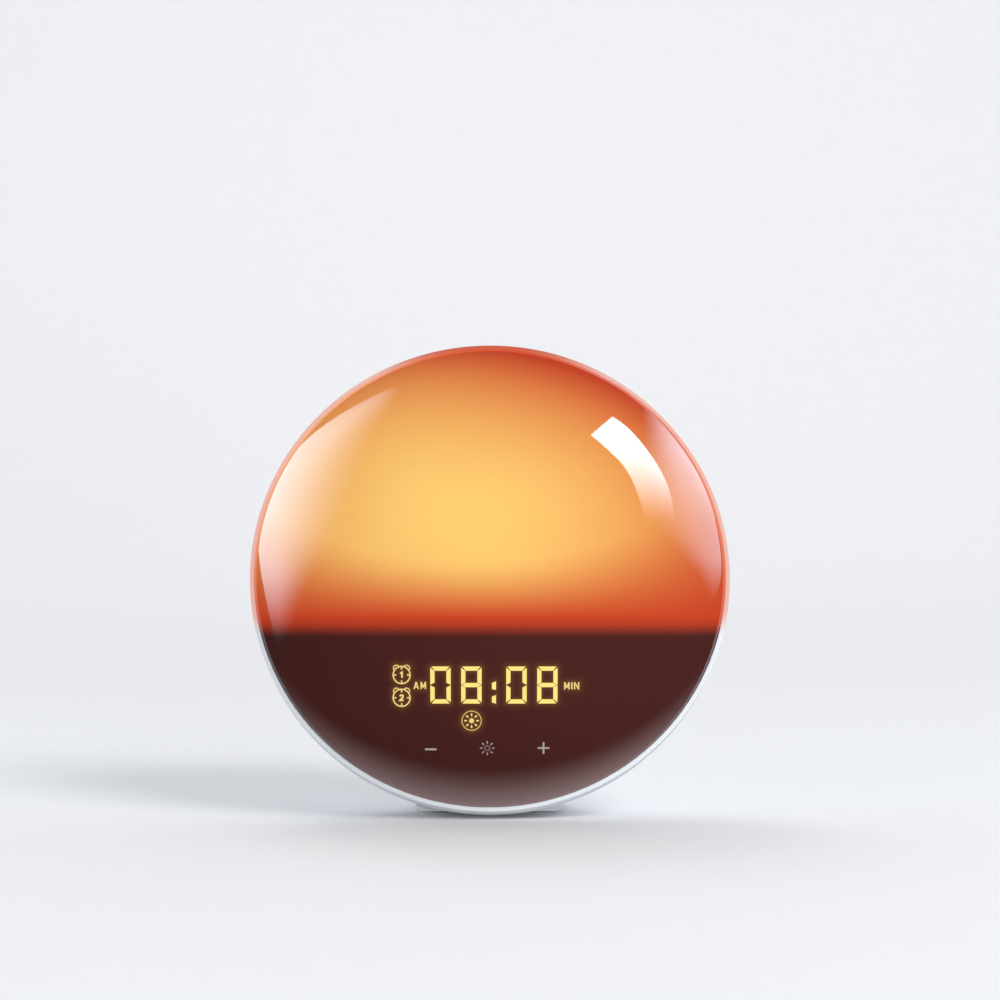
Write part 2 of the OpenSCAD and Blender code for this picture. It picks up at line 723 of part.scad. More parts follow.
// A wire of radius r swept along points, each ring across the line between its neighbours
function cross_dir(t, up) = let (c = cross(t, up)) c / norm(c);
function ring(p, t, up, r, n) = let (a = cross_dir(t, up), b = cross(t, a))
  [for (k = [0:n - 1]) p + r * (cos(360 * k / n) * a + sin(360 * k / n) * b)];
module wire(path, r, n, up) {
  m = len(path);
  tangents = [for (i = [0:m - 1]) let (d = path[min(i + 1, m - 1)] - path[max(i - 1, 0)]) d / norm(d)];
  points = [for (i = [0:m - 1]) each ring(path[i], tangents[i], up, r, n)];
  sides = [for (i = [0:m - 2], k = [0:n - 1]) each let (a = i * n + k, b = i * n + (k + 1) % n)
    [[a, a + n, b], [b, a + n, b + n]]];
  polyhedron(points, concat(sides, [[for (k = [0:n - 1]) k]], [[for (k = [n - 1:-1:0]) (m - 1) * n + k]]));
}
function coil(l) = let (n = spring_turns * spring_steps) [
  for (i = [0:n]) [spring_r * cos(360 * i / spring_steps), spring_r * sin(360 * i / spring_steps),
                   spring_wire_r + (l - 2 * spring_wire_r) * i / n]
];
module touch_springs() {
  color(steel) in_display() for (u = touch_u) let (
    reach = sqrt(pow(dome_in, 2) - pow(abs(u) + spring_r, 2) - pow(-touch_v + spring_r, 2)) - 0.3,
    l = reach - board_face
  ) translate([u, touch_v, board_face]) wire(coil(l), spring_wire_r, spring_sides, [0, 0, 1]);
}

// ---- Main board ----
board_r = 53;
board_hole_r = speaker_boss_r + speaker_boss_d / 2 + 2.6;
board_mid_r = (board_r + board_hole_r) / 2;
board_front = z_board + board_t;
module main_board() {
  color(board_green) in_body() difference() {
    translate([0, 0, z_board]) tube(board_r, board_hole_r, board_t);
    for (a = screw_angles) on_back(screw_circle_r, a)
      translate([0, 0, z_board - over]) cylinder(d = tube_d + 2, h = board_t + 2 * over);
    for (a = post_angles) on_back(post_r, a)
      translate([0, 0, z_board - over]) cylinder(d = small_screw_d + 0.4, h = board_t + 2 * over);
  }
}
module board_screws() {
  color(steel) in_body() for (a = post_angles) on_back(post_r, a)
    translate([0, 0, z_board + board_t]) mirror([0, 0, 1])
      screw(small_screw_d, small_head_d, small_head_h, board_t + 5);
}
chip_side = 10;
module controller_chip() {
  color(black_plastic) in_body() on_back(board_mid_r, 132)
    translate([-chip_side / 2, -chip_side / 2, board_front]) {
    translate([0, 0, 0.15]) cube([chip_side, chip_side, 1.4]);
    for (k = [0:7], s = [0, 1]) translate([1 + k * 1.15 - 0.2, s * (chip_side + 0.6) - 0.6, 0])
      cube([0.4, 0.6 + eps, 0.5]);
  }
}
module capacitors() {
  color([0.15, 0.15, 0.30]) in_body() for (a = [-18, -8]) on_back(board_mid_r + 1, a)
    translate([0, 0, board_front]) cylinder(d = 6.3, h = 9);
}
switch_side = 6;
plunger_out = 1.7;
plunger_d = 3.4;
plunger_bore = key_travel + 1.1;
module push_switches() {
  color(black_plastic) in_body() for (i = [1:key_count]) at_key(i) difference() {
    translate([-switch_side / 2, -switch_side / 2, z_board - switch_h])
      cube([switch_side, switch_side, switch_h]);
    translate([0, 0, z_board - switch_h - over]) cylinder(d = plunger_d + 0.2, h = plunger_bore + over);
  }
}
module plunger(i) {
  color([0.85, 0.30, 0.15]) in_body() at_key(i) translate([0, 0, z_board - switch_h - plunger_out])
    cylinder(d = plunger_d, h = plunger_out + 0.9);
}
// A key cap: pad outside, flange behind the wall, stem onto the plunger
key_flange = 1;
key_flange_t = 1;
module key(i) {
  color(key_grey) in_body() at_key(i) {
    translate([0, 0, z_out - key_proud]) linear_extrude(key_proud + wall + slip + eps) obround(key_w, key_l);
    translate([0, 0, z_in + slip]) linear_extrude(key_flange_t)
      obround(key_w + 2 * key_flange, key_l + 2 * key_flange);
    translate([0, 0, z_in + slip + key_flange_t - eps])
      cylinder(d = 4, h = key_stack - switch_h - plunger_out - slip - key_flange_t + eps);
  }
}

// ---- Power socket and battery ----
pin_root_d = jack_pin_d + 0.8;            // the pin is thicker where the socket's floor holds it
pin_setback = 1;                          // of the pin's tip, behind the back's outer face
module dc_socket() {
  color(black_plastic) in_body() translate([jack_at.x, jack_at.y, z_out]) difference() {
    cylinder(d = jack_d, h = z_board - z_out);
    translate([0, 0, -over]) cylinder(d = jack_bore_d, h = jack_bore_l + over);
    translate([0, 0, -over]) cylinder(d = pin_root_d + 2 * slip, h = z_board - z_out + 2 * over);
  }
}
module dc_socket_pin() {
  color(steel) in_body() translate([jack_at.x, jack_at.y, z_out]) {
    translate([0, 0, pin_setback]) cylinder(d = jack_pin_d, h = jack_bore_l - pin_setback);
    translate([0, 0, jack_bore_l]) cylinder(d = pin_root_d, h = z_board - z_out - jack_bore_l);
  }
}
module coin_cell() {
  color(steel) in_body() translate([battery_at.x, battery_at.y, ledge_z + slip]) {
    cylinder(d = cell_d, h = cell_t * 0.75);
    cylinder(d = cell_d * 0.88, h = cell_t);
  }
}
// A leaf spring under the cell
module cell_contact() {
  color([0.80, 0.68, 0.40]) in_body()
    translate([battery_at.x, battery_at.y, pocket_z]) rotate([90, 0, 0]) linear_extrude(4, center = true)
      polygon([[-7, 0], [7, 0], [7, -contact_t / 2], [2, -contact_rise + slip + 0.2],
               [-2, -contact_rise + slip + 0.2], [-7, -contact_t / 2]]);
}
coin_slot_l = 13;
module battery_door() {
  color(white_abs) in_body() translate([battery_at.x, battery_at.y, z_out]) difference() {
    union() {
      cylinder(d = door_d, h = door_t);
      translate([0, 0, door_t - lug_t])
        for (a = lug_angles) wedge(door_d / 2 + lug_reach, lug_t, a, lug_half);
    }
    translate([-coin_slot_l / 2, -1, -over]) cube([coin_slot_l, 2, over + 0.8]);
  }
}

// ---- Speaker ----
cone_t = 0.5;
cone_lip = speaker_r - 3;
throat_r = 6;
basket_back = 9.5;                                     // from the flange to the magnet's plate
basket_r = 13.5;                                       // of that plate
module speaker_mesh() {
  color(black_plastic) in_body() translate([0, 0, z_in])
    cylinder(r = grille_rings * grille_pitch + grille_hole_d / 2 + 0.4, h = 0.3);
}
module speaker_gasket() {
  color(rubber_grey) in_body() translate([0, 0, z_in])
    tube(speaker_r, grille_rings * grille_pitch + grille_hole_d / 2 + 0.8, gasket_t);
}
module speaker_basket() {
  color([0.25, 0.25, 0.27]) in_body() translate([0, 0, z_in + gasket_t]) difference() {
    rotate_extrude() polygon([
      [cone_lip, 0], [speaker_r, 0], [speaker_r, flange_t], [speaker_r - 1.5, flange_t],
      [basket_r, basket_back], [basket_r, basket_back + 1], [throat_r + 0.6, basket_back + 1],
      [throat_r + 0.6, basket_back], [basket_r - 1, basket_back], [speaker_r - 2.8, flange_t + 0.2],
      [cone_lip, flange_t]
    ]);
    for (k = [0:3]) rotate([0, 0, 90 * k]) translate([0, -4, 3]) cube([speaker_r, 8, basket_back - 5]);
  }
}
module speaker_cone() {
  color([0.14, 0.14, 0.15]) in_body() translate([0, 0, z_in + gasket_t]) rotate_extrude() polygon([
    [0, 4.2], [4, 4.8], [throat_r - 0.5, 6], [cone_lip - 2.4, 1.2], [cone_lip - 0.2, 0.4],
    [cone_lip - 0.2, 0.4 + cone_t], [cone_lip - 2.4, 1.2 + cone_t], [throat_r, 6.6],
    [throat_r, basket_back], [throat_r - cone_t, basket_back], [throat_r - cone_t, 6.6], [4, 4.8 + cone_t],
    [0, 4.2 + cone_t]
  ]);
}
module speaker_magnet() {
  color([0.35, 0.35, 0.37]) in_body() translate([0, 0, z_in + gasket_t + basket_back + 1])
    cylinder(d = magnet_d, h = speaker_h - basket_back - 1);
}
module speaker_screws() {
  color(steel) in_body() for (k = [0:3]) on_back(speaker_boss_r, 45 + 90 * k)
    translate([0, 0, z_in + gasket_t + flange_t]) mirror([0, 0, 1])
      screw(small_screw_d, speaker_boss_d + 2.8, 1, gasket_t + flange_t + 0.6);
}

// ---- Leads ----
lead_r = 0.9;
lead_sides = 8;
lead_gap = 0.2;                          // between a lead's end and what it is soldered to
plug_side = 5;
plug_h = 4;
// The plugs' places on the main board: radius and angle
lamp_plug = [board_mid_r, 30];
display_plug = [board_mid_r + 2, 252];
speaker_plug = [board_mid_r - 4, 201];
function polar(p) = [p[0] * cos(p[1]), p[0] * sin(p[1]), board_front + plug_h + lead_gap];
// A smooth line through the points a, b, c and d
function bend(a, b, c, d, n) = [for (i = [0:n]) let (t = i / n, s = 1 - t)
  s * s * s * a + 3 * s * s * t * b + 3 * s * t * t * c + t * t * t * d];

module lead_plugs() {
  color([0.92, 0.90, 0.82]) in_body() for (p = [lamp_plug, display_plug, speaker_plug])
    on_back(p[0], p[1]) translate([-plug_side / 2, -plug_side / 2, board_front])
      cube([plug_side, plug_side, plug_h]);
}
module lamp_lead() {
  start = polar(lamp_plug);
  end = [lamp_hole.x, lamp_hole.y, seat_z - lead_gap];
  color([0.80, 0.15, 0.12]) in_body()
    wire(bend(start, start + [0, 0, 8], end - [0, 0, 8], end, 12), lead_r, lead_sides, [0, 1, 0]);
}
// From the disc's front to the rear of the leaning display board, along the body's axis
display_rise = (board_w + display_hole.y * sin(display_angle) - disc_depth * cos(display_angle))
             / cos(display_angle) - lead_r * tan(display_angle) - lead_gap;
module display_lead() {
  start = polar(display_plug);
  hole = [display_hole.x, display_hole.y, disc_back];
  color([0.75, 0.75, 0.78]) in_body()
    wire(concat(bend(start, start + [0, 0, 8], hole - [0, 0, 8], hole, 12),
                [hole + [0, 0, disc_t + display_rise]]), lead_r, lead_sides, [0, 1, 0]);
}
module speaker_lead() {
  leg_r = (speaker_r - 1.5 + basket_r) / 2;                        // middle of a basket leg
  slope = atan((basket_back - flange_t) / (speaker_r - 1.5 - basket_r));
  leg = [cos(225), sin(225), 0];
  out = [sin(slope) * leg.x, sin(slope) * leg.y, cos(slope)];
  start = leg_r * leg + [0, 0, z_in + gasket_t + (basket_back + flange_t) / 2] + lead_gap * out;
  end = polar(speaker_plug);
  color([0.15, 0.15, 0.16]) in_body()
    wire(bend(start, start + 7 * out, end + [0, 0, 8], end, 12), lead_r, lead_sides, [0, 1, 0]);
}

dome();
front_frame();
rear_case();
foot();
foot_pads();
case_screws();
light_baffle();
display_housing();
light_wells();
display_leds();
display_board();
display_screws();
touch_springs();
lamp_board();
lamp_leds();
lamp_screws();
main_board();
controller_chip();
capacitors();
push_switches();
board_screws();
dc_socket();
dc_socket_pin();
coin_cell();
cell_contact();
battery_door();
speaker_mesh();
speaker_gasket();
speaker_basket();
speaker_cone();
speaker_magnet();
speaker_screws();
lead_plugs();
lamp_lead();
display_lead();
speaker_lead();
for (i = [1:key_count]) {
  key(i);
  plunger(i);
}
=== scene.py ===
"""Looks of the sunrise alarm clock: a lit dome with a dark display zone on a white body, in metres.

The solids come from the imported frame. This file gives them their finishes, and adds the dome's skin, what the
display shows through it, the touch marks and the symbols on the keys. Flat drawings are in millimetres.
"""
import json
import math
from functools import partial

import bpy
import numpy as np
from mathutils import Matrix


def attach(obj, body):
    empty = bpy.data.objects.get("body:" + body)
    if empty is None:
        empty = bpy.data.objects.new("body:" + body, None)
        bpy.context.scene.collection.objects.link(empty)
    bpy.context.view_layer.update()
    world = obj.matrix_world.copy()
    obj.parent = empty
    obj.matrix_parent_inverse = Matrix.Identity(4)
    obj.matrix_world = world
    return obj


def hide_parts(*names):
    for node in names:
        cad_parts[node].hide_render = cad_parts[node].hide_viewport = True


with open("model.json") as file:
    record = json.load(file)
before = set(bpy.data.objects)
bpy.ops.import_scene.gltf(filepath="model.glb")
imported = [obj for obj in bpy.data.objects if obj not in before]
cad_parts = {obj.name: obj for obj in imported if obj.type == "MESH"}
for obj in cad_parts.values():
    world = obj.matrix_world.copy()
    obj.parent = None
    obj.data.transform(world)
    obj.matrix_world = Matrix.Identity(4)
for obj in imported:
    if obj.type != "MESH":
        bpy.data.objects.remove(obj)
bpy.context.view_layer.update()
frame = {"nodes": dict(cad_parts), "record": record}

# ---------------------------------------------------------------- sizes, in millimetres and degrees
BODY_R = 87.5
LEAN = 16.0
BAND_W = 5.0
BOWL_R = 34.0
BELLY_GAP = 0.4
LIP_W = 1.6
DOME_H = 52.0
DOME_T = 2.0
SEAT_DEPTH = 3.0
SIGHT_ANGLE = 12.0                     # the signs are drawn looking this far below the dome's axis
BORDER_ANGLE = 12.9                    # of the baffle, below the dome's axis
BORDER_DROP = 8.95                     # of the baffle's plane, below the sphere's centre
KEY_ARC_R = 40.0
KEY_PITCH = 24.0
KEY_PROUD = 1.0
DOOR_AT = (0.0, -39.5)
DOOR_R = 12.4
MM = 0.001

lean = math.radians(LEAN)
flat_r = BODY_R - BOWL_R
back_z = -(BAND_W + BOWL_R)
dome_r = BODY_R - LIP_W
sphere_r = (dome_r ** 2 + DOME_H ** 2) / (2 * DOME_H)
sphere_z = DOME_H - sphere_r
reach_back = flat_r * math.sin(lean) + BAND_W * math.cos(lean) + BOWL_R
axis_y = (sphere_r + sphere_z * math.cos(lean) - reach_back) / 2
axis_z = flat_r * math.cos(lean) + BAND_W * math.sin(lean) + BOWL_R + BELLY_GAP

# Rows of each matrix are the local directions, written in the row frame
BODY_AXES = np.array([[1, 0, 0],
                      [0, math.sin(lean), math.cos(lean)],
                      [0, -math.cos(lean), math.sin(lean)]])
BODY_ORIGIN = np.array([0, axis_y, axis_z])


def tipped(degrees):
    """The body's axes turned about X, so that the third looks that many degrees further down."""
    t = math.radians(degrees)
    return np.array([BODY_AXES[0],
                     math.cos(t) * BODY_AXES[1] + math.sin(t) * BODY_AXES[2],
                     -math.sin(t) * BODY_AXES[1] + math.cos(t) * BODY_AXES[2]])


SIGHT_AXES = tipped(SIGHT_ANGLE)
BORDER_AXES = tipped(BORDER_ANGLE)
SPHERE_CENTRE = BODY_ORIGIN + sphere_z * BODY_AXES[2]
BORDER_ORIGIN = SPHERE_CENTRE - BORDER_DROP * BORDER_AXES[1]


def from_body(points):
    """Row-frame metres of points given in the body frame in millimetres: origin + x X + y Y + z Z."""
    return (BODY_ORIGIN + np.asarray(points, float) @ BODY_AXES) * MM


def on_dome(uv, rise):
    """Row-frame metres of flat points (u, v) of the signs, carried along the line of sight to the dome's sphere.

    w = sqrt((r + rise)^2 - u^2 - v^2), with r the sphere's radius.
    """
    uv = np.asarray(uv, float)
    w = np.sqrt((sphere_r + rise) ** 2 - (uv ** 2).sum(-1))
    return (SPHERE_CENTRE + np.concatenate([uv, w[..., None]], -1) @ SIGHT_AXES) * MM


def on_back(uv, rise):
    """Row-frame metres of flat points (u, v) on the flat back, with u to the right as seen from behind."""
    uv = np.asarray(uv, float)
    return from_body(np.stack([-uv[..., 0], uv[..., 1], np.full(uv.shape[:-1], back_z - rise)], -1))


def on_key(uv, rise):
    """The same on the caps of the keys, which stand proud of the back."""
    return on_back(uv, rise + KEY_PROUD)


# ---------------------------------------------------------------- camera
CAMERA_DISTANCE = 1.0
CAMERA_TARGET = (0.003697, 0.0, 0.113769)
CAMERA_RISE = math.radians(0.487)
PICTURE = 1000.0                       # the picture's side, in pixels
FOCAL_PX = 2746.35                     # focal length in those pixels
SENSOR = 36.0                          # the sensor's side, in millimetres


def put_object(name, data):
    """A new object in the scene."""
    new = bpy.data.objects.new(name, data)
    bpy.context.scene.collection.objects.link(new)
    return new


look = np.array([0.0, math.cos(CAMERA_RISE), -math.sin(CAMERA_RISE)])
camera_at = np.array(CAMERA_TARGET) - CAMERA_DISTANCE * look
camera_data = bpy.data.cameras.new("camera")
camera = put_object("camera", camera_data)
camera.location = camera_at
camera.rotation_euler = (math.pi / 2 - CAMERA_RISE, 0, 0)
camera_data.sensor_width = SENSOR
camera_data.lens = SENSOR * FOCAL_PX / PICTURE
bpy.context.scene.camera = camera


# ---------------------------------------------------------------- meshes
SHARP_OVER = 30                        # edges of the solids and the thin shells stay sharp over this many degrees
DOME_SHARP_OVER = 35                   # those of the dome's skin
STUDIO_SHARP_OVER = 80                 # and those of the studio's surfaces


def mesh_object(name, points, faces, smooth_below):
    """A mesh object in the row frame, smooth except at edges sharper than smooth_below degrees."""
    mesh = bpy.data.meshes.new(name)
    mesh.from_pydata(np.asarray(points).tolist(), [], [list(f) for f in faces])
    mesh.update()
    mesh.shade_smooth()
    mesh.set_sharp_from_angle(angle=math.radians(smooth_below))
    return put_object(name, mesh)


def grid_faces(rows, columns, closed=False):
    """Quads of a grid of rows x columns points, numbered row by row; closed joins the last column to the first."""
    r = np.arange(rows - 1)[:, None]
    c = np.arange(columns if closed else columns - 1)[None, :]
    n = (c + 1) % columns
    quads = np.stack([r * columns + c, r * columns + n, (r + 1) * columns + n, (r + 1) * columns + c], -1)
    return quads.reshape(-1, 4).tolist()


def finish_piece(piece, body, material, replaces=()):
    """Gives a new piece its body and its material, and hides the solids that it replaces."""
    piece.data.materials.append(material)
    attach(piece, body)
    if replaces:
        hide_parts(*replaces)


# ---------------------------------------------------------------- flat drawings
def band(left, right, n):
    """A ribbon between two polylines, as n pairs of points at equal shares of their corners' spacing."""
    left, right = np.asarray(left, float), np.asarray(right, float)
    t = np.linspace(0, len(left) - 1, (len(left) - 1) * n + 1)
    k = np.arange(len(left))
    return np.stack([np.stack([np.interp(t, k, e[:, 0]), np.interp(t, k, e[:, 1])], -1) for e in (left, right)], 1)


def arc(centre, r, a0, a1, n):
    """n + 1 points of a circle of radius r about centre, from angle a0 to a1 in degrees."""
    a = np.radians(np.linspace(a0, a1, n + 1))
    return np.asarray(centre, float) + r * np.stack([np.cos(a), np.sin(a)], -1)


def ring(centre, r, width, a0=0, a1=360, n=40):
    """A circular ribbon of that middle radius and width."""
    return band(arc(centre, r + width / 2, a0, a1, n), arc(centre, r - width / 2, a0, a1, n), 1)


def dot(centre, r, n=24):
    """A filled circle, as a ribbon between its upper and its lower half."""
    return band(arc(centre, r, 180, 0, n), arc(centre, r, 180, 360, n), 1)


def stroke(line, width):
    """A ribbon of constant width along a polyline, mitred at its corners.

    The offset at a corner is width / 2 along the mean normal m, divided by m . n for the legs' normal n.
    """
    line = np.asarray(line, float)
    legs = np.diff(line, axis=0)
    normal = np.stack([-legs[:, 1], legs[:, 0]], -1) / np.linalg.norm(legs, axis=1)[:, None]
    before = np.concatenate([normal[:1], normal])
    after = np.concatenate([normal, normal[-1:]])
    mean = before + after
    mean /= np.linalg.norm(mean, axis=1)[:, None]
    offset = mean / np.clip((mean * after).sum(1), 0.4, 1)[:, None] * width / 2
    return band(line + offset, line - offset, 2)


def drop_ray(centre, angle, r0, r1, width):
    """A ray of a sun symbol: narrow at r0, widest two thirds out, round at r1.

    Its half width is width / 2 x sin(pi t^1.5)^0.6, for t from 0 at r0 to 1 at r1.
    """
    a = math.radians(angle)
    along, across = np.array([math.cos(a), math.sin(a)]), np.array([-math.sin(a), math.cos(a)])
    t = np.linspace(0, 1, 9)
    half = width / 2 * np.sin(np.pi * t ** 1.5) ** 0.6
    middle = np.asarray(centre) + (r0 + (r1 - r0) * t)[:, None] * along
    return np.stack([middle + half[:, None] * across, middle - half[:, None] * across], 1)


DIGIT_W, DIGIT_H, STROKE, STROKE_GAP = 7.1, 12.85, 1.48, 0.1
DIGIT_CUT = 0.3                        # how far the digits' outer corners are cut off
DIGITS_SHIFT, DIGIT_V, PAIR_GAP, DIGIT_PITCH = 1.6, -31.12, 15.6, 10.72
SEGMENTS = {"0": "abcdef", "8": "abcdefg"}
COLON_LEFT, COLON_RIGHT = 0.9, 2.32
COLON_DOTS = ((-30.4, -29.8, -32.8, -32.5), (-35.1, -34.6, -37.6, -37.15))   # left and right top, right and left foot
ALARM_ICONS = {"1": (-30.5, -27.66), "2": (-30.58, -35.59)}
SUN_ICON = (-6.18, -43.53)


def digit(sign, u0, v0):
    """The lit segments of a seven-segment digit, each a ribbon with mitred ends and cut outer corners."""
    a, b, s, g, c = DIGIT_W / 2, DIGIT_H / 2, STROKE, STROKE_GAP, DIGIT_CUT
    middle = [[-a + 2 * g, 0], [-a + s + g, s / 2], [a - s - g, s / 2], [a - 2 * g, 0]]
    shapes = {"g": (middle, [[x, -y] for x, y in middle])}
    for name, up in (("a", 1), ("d", -1)):
        shapes[name] = ([[-a + c + g, up * b], [a - c - g, up * b]],
                        [[-a + s + g, up * (b - s)], [a - s - g, up * (b - s)]])
    for name, side, up in (("b", 1, 1), ("c", 1, -1), ("e", -1, -1), ("f", -1, 1)):
        shapes[name] = ([[side * a, up * (b - c - g)], [side * a, up * g]],
                        [[side * (a - s), up * (b - s - g)], [side * (a - s), up * (s / 2 + g)]])
    at = np.array([u0, v0])
    return [band(np.array(shapes[k][0]) + at, np.array(shapes[k][1]) + at, 6) for k in SEGMENTS[sign]]


def time_shapes():
    """The time: four digits and the two dots between the pairs, their outer ends cut on a slope."""
    shapes = []
    for sign, side, k in (("0", -1, 1), ("8", -1, 0), ("0", 1, 0), ("8", 1, 1)):
        shapes += digit(sign, DIGITS_SHIFT + side * (PAIR_GAP / 2 + k * DIGIT_PITCH), DIGIT_V)
    for left_top, right_top, right_foot, left_foot in COLON_DOTS:
        shapes.append(band([[COLON_LEFT, left_top], [COLON_RIGHT, right_top]],
                           [[COLON_LEFT, left_foot], [COLON_RIGHT, right_foot]], 3))
    return shapes


NUMERALS = {
    "1": [(-0.5, 0.55), (0.16, 0.92), (0.16, -0.92)],
    "2": [(-0.55, 0.5), (-0.4, 0.82), (0.05, 0.93), (0.45, 0.8), (0.52, 0.42), (0.3, 0.02), (-0.55, -0.85),
          (0.66, -0.85)],
}
LETTER_H, LETTER_STROKE, LETTER_GAP = 2.45, 0.48, 0.47
A_BAR_IN, A_BAR_V, A_BAR_W = 0.4, 0.72, 0.4     # of the A's level bar: distance from its feet, height, width
LETTERS = {                            # the bars' left edges, each from (x, y) to (x, y), and the letter's width
    "A": ([(0, 0, 0.74, 1), (1.48, 0, 0.74, 1)], 2.0),
    "M": ([(0, 0, 0, 1), (1.48, 0, 1.48, 1), (0.0, 1, 0.74, 0.2), (1.48, 1, 0.74, 0.2)], 2.0),
    "I": ([(0, 0, 0, 1)], 0.5),
    "N": ([(0, 0, 0, 1), (1.4, 0, 1.4, 1), (0, 1, 1.4, 0)], 1.92),
}


def word(text, u0, v0):
    """Plain capitals from their lower left corner: slanting bars of one width, cut level at both ends."""
    shapes = []
    for letter in text:
        bars, wide = LETTERS[letter]
        for x0, y0, x1, y1 in bars:
            left = np.array([[u0 + x0, v0 + y0 * LETTER_H], [u0 + x1, v0 + y1 * LETTER_H]])
            shapes.append(band(left, left + [LETTER_STROKE, 0], 2))
        if letter == "A":
            shapes.append(stroke([(u0 + A_BAR_IN, v0 + A_BAR_V), (u0 + wide - A_BAR_IN, v0 + A_BAR_V)], A_BAR_W))
        u0 += wide + LETTER_GAP
    return shapes


CLOCK_R, CLOCK_W = 2.99, 0.46          # of the alarm symbol's ring: middle radius, width
TICK_FROM, TICK_TO, TICK_W = 2.8, 1.9, 0.5
BELL_AT, BELL_R, BELL_W = (1.78, 2.32), 1.07, 0.36
BELL_TURN, BELL_HALF = 56, 84          # where the right bell's arc points, and half its angle, in degrees
NUMERAL_W = 0.62


def alarm_shapes(sign, centre, scale=1.0, bold=1.0):
    """A twin-bell clock face: ring, four ticks, two bell arcs and the alarm's number."""
    def toward(degrees, r):
        return np.array([math.cos(math.radians(degrees)), math.sin(math.radians(degrees))]) * r

    shapes = [ring((0, 0), CLOCK_R, CLOCK_W * bold)]
    shapes += [stroke([toward(a, TICK_FROM), toward(a, TICK_TO)], TICK_W * bold) for a in (0, 90, 180, 270)]
    shapes += [ring((side * BELL_AT[0], BELL_AT[1]), BELL_R, BELL_W * bold, a - BELL_HALF, a + BELL_HALF, 14)
               for side, a in ((1, BELL_TURN), (-1, 180 - BELL_TURN))]
    shapes.append(stroke(NUMERALS[sign], NUMERAL_W * bold))
    return [shape * scale + np.asarray(centre, float) for shape in shapes]


def sun_rays(centre, r0, r1, width):
    """Eight drop-shaped rays of a sun."""
    return [drop_ray(centre, 45 * k, r0, r1, width) for k in range(8)]


display_shapes = {
    "display_time": time_shapes(),
    "display_words": word("AM", -26.38, -32.5) + word("MIN", 25.95, -32.62),
    "display_icons": (alarm_shapes("1", ALARM_ICONS["1"]) + alarm_shapes("2", ALARM_ICONS["2"])
                      + sun_rays(SUN_ICON, 1.4, 2.66, 0.62) + [dot(SUN_ICON, 0.86)]),
    "display_icon_ring": [ring(SUN_ICON, 3.36, 0.32)],
}
TOUCH_SUN = (-0.74, -53.16)
TOUCH_PLUS = np.array([18.93, -53.19])
touch_shapes = {
    "touch_minus": [stroke([(-22.63, -53.67), (-18.52, -53.67)], 0.7)],
    "touch_sun_rays": sun_rays(TOUCH_SUN, 1.4, 2.6, 0.54),
    "touch_sun_ring": [ring(TOUCH_SUN, 0.84, 0.34)],
    "touch_plus": [stroke(TOUCH_PLUS + [[-2.07, 0], [2.07, 0]], 0.66),
                   stroke(TOUCH_PLUS + [[0, -2.1], [0, 2.1]], 0.66)],
}

LOUDSPEAKER = band([[-1.9, 0.65], [-1.05, 0.65], [0.15, 1.6]], [[-1.9, -0.65], [-1.05, -0.65], [0.15, -1.6]], 2)
KEY_SIGNS = {                          # what the caps' prints show, in millimetres from the cap's middle
    "key_1": alarm_shapes("1", (0, -0.25), 0.56, 0.8),
    "key_2": alarm_shapes("2", (0, -0.25), 0.56, 0.8),
    "key_3": [LOUDSPEAKER, ring((0.2, 0), 0.9, 0.32, -48, 48, 10), ring((0.2, 0), 1.75, 0.32, -48, 48, 14)],
    "key_4": [LOUDSPEAKER, stroke([(0.75, 0), (2.25, 0)], 0.36), stroke([(1.5, -0.75), (1.5, 0.75)], 0.36)],
    "key_5": [LOUDSPEAKER, stroke([(0.75, 0), (2.25, 0)], 0.36)],
    "key_6": [ring((0, 0), 1.75, 0.34), stroke([(0, 1.1), (0, 0), (0.75, -0.45)], 0.32)],
}
DOOR_MARKS = [ring((0, 0), DOOR_R + 2.8, 0.5, -18, 24, 16),                    # round the door: the way it turns
              band([[14.71, 6.55], [12.75, 8.28]], [[13.06, 5.82], [12.75, 8.28]], 2),
              dot((7.4, 13.3), 0.5), ring((11.0, 10.5), 0.5, 0.25, n=16)]

LIGHT_RISE = 0.04                      # how far the lit shapes stand out of the dome's skin
PRINT_RISE = 0.02                      # the same of a print
ROOT = 0.05                            # how far both go into what carries them
OVER_STEP, OVER_STEPS = 0.003, 4       # crossing ribbons lie this far over each other, in so many steps
MERGE_GRID = 1e7                       # points that fall together on this many steps to the metre are one


def ribbon_shell(ribbon, place, rise):
    """One closed thin shell: the ribbon carried by place to rise and to the root, with walls between.

    Pairs that meet in one point are merged, a ribbon that ends where it starts is joined there, and the faces
    are turned outwards by the sign of the volume, the sum of p0 . (p1 x p2) over the faces' corners.
    """
    closed = bool(np.allclose(ribbon[0], ribbon[-1]))
    n = len(ribbon) - closed
    flat = ribbon[:n].reshape(-1, 2)
    points = np.concatenate([place(flat, rise), place(flat, -ROOT)])
    a = 2 * np.arange(n if closed else n - 1)
    b, low = (a + 2) % (2 * n), 2 * n
    quads = np.concatenate([np.stack(q, -1) for q in (
        (a, a + 1, b + 1, b), (a + low, b + low, b + 1 + low, a + 1 + low),
        (a, b, b + low, a + low), (a + 1, a + 1 + low, b + 1 + low, b + 1))])
    if not closed:
        end = low - 2
        quads = np.concatenate([quads, [[0, low, low + 1, 1], [end, end + 1, end + 1 + low, end + low]]])
    _, first, merged = np.unique(np.round(points * MERGE_GRID).astype(np.int64), axis=0, return_index=True,
                                 return_inverse=True)
    points, quads = points[first], merged.reshape(-1)[quads]
    corners = points[quads]
    volume = sum((corners[:, 0] * np.cross(corners[:, i], corners[:, i + 1])).sum() for i in (1, 2))
    if volume < 0:
        quads = quads[:, ::-1]
    faces = [list(dict.fromkeys(q)) for q in quads.tolist()]
    return points, [f for f in faces if len(f) > 2]


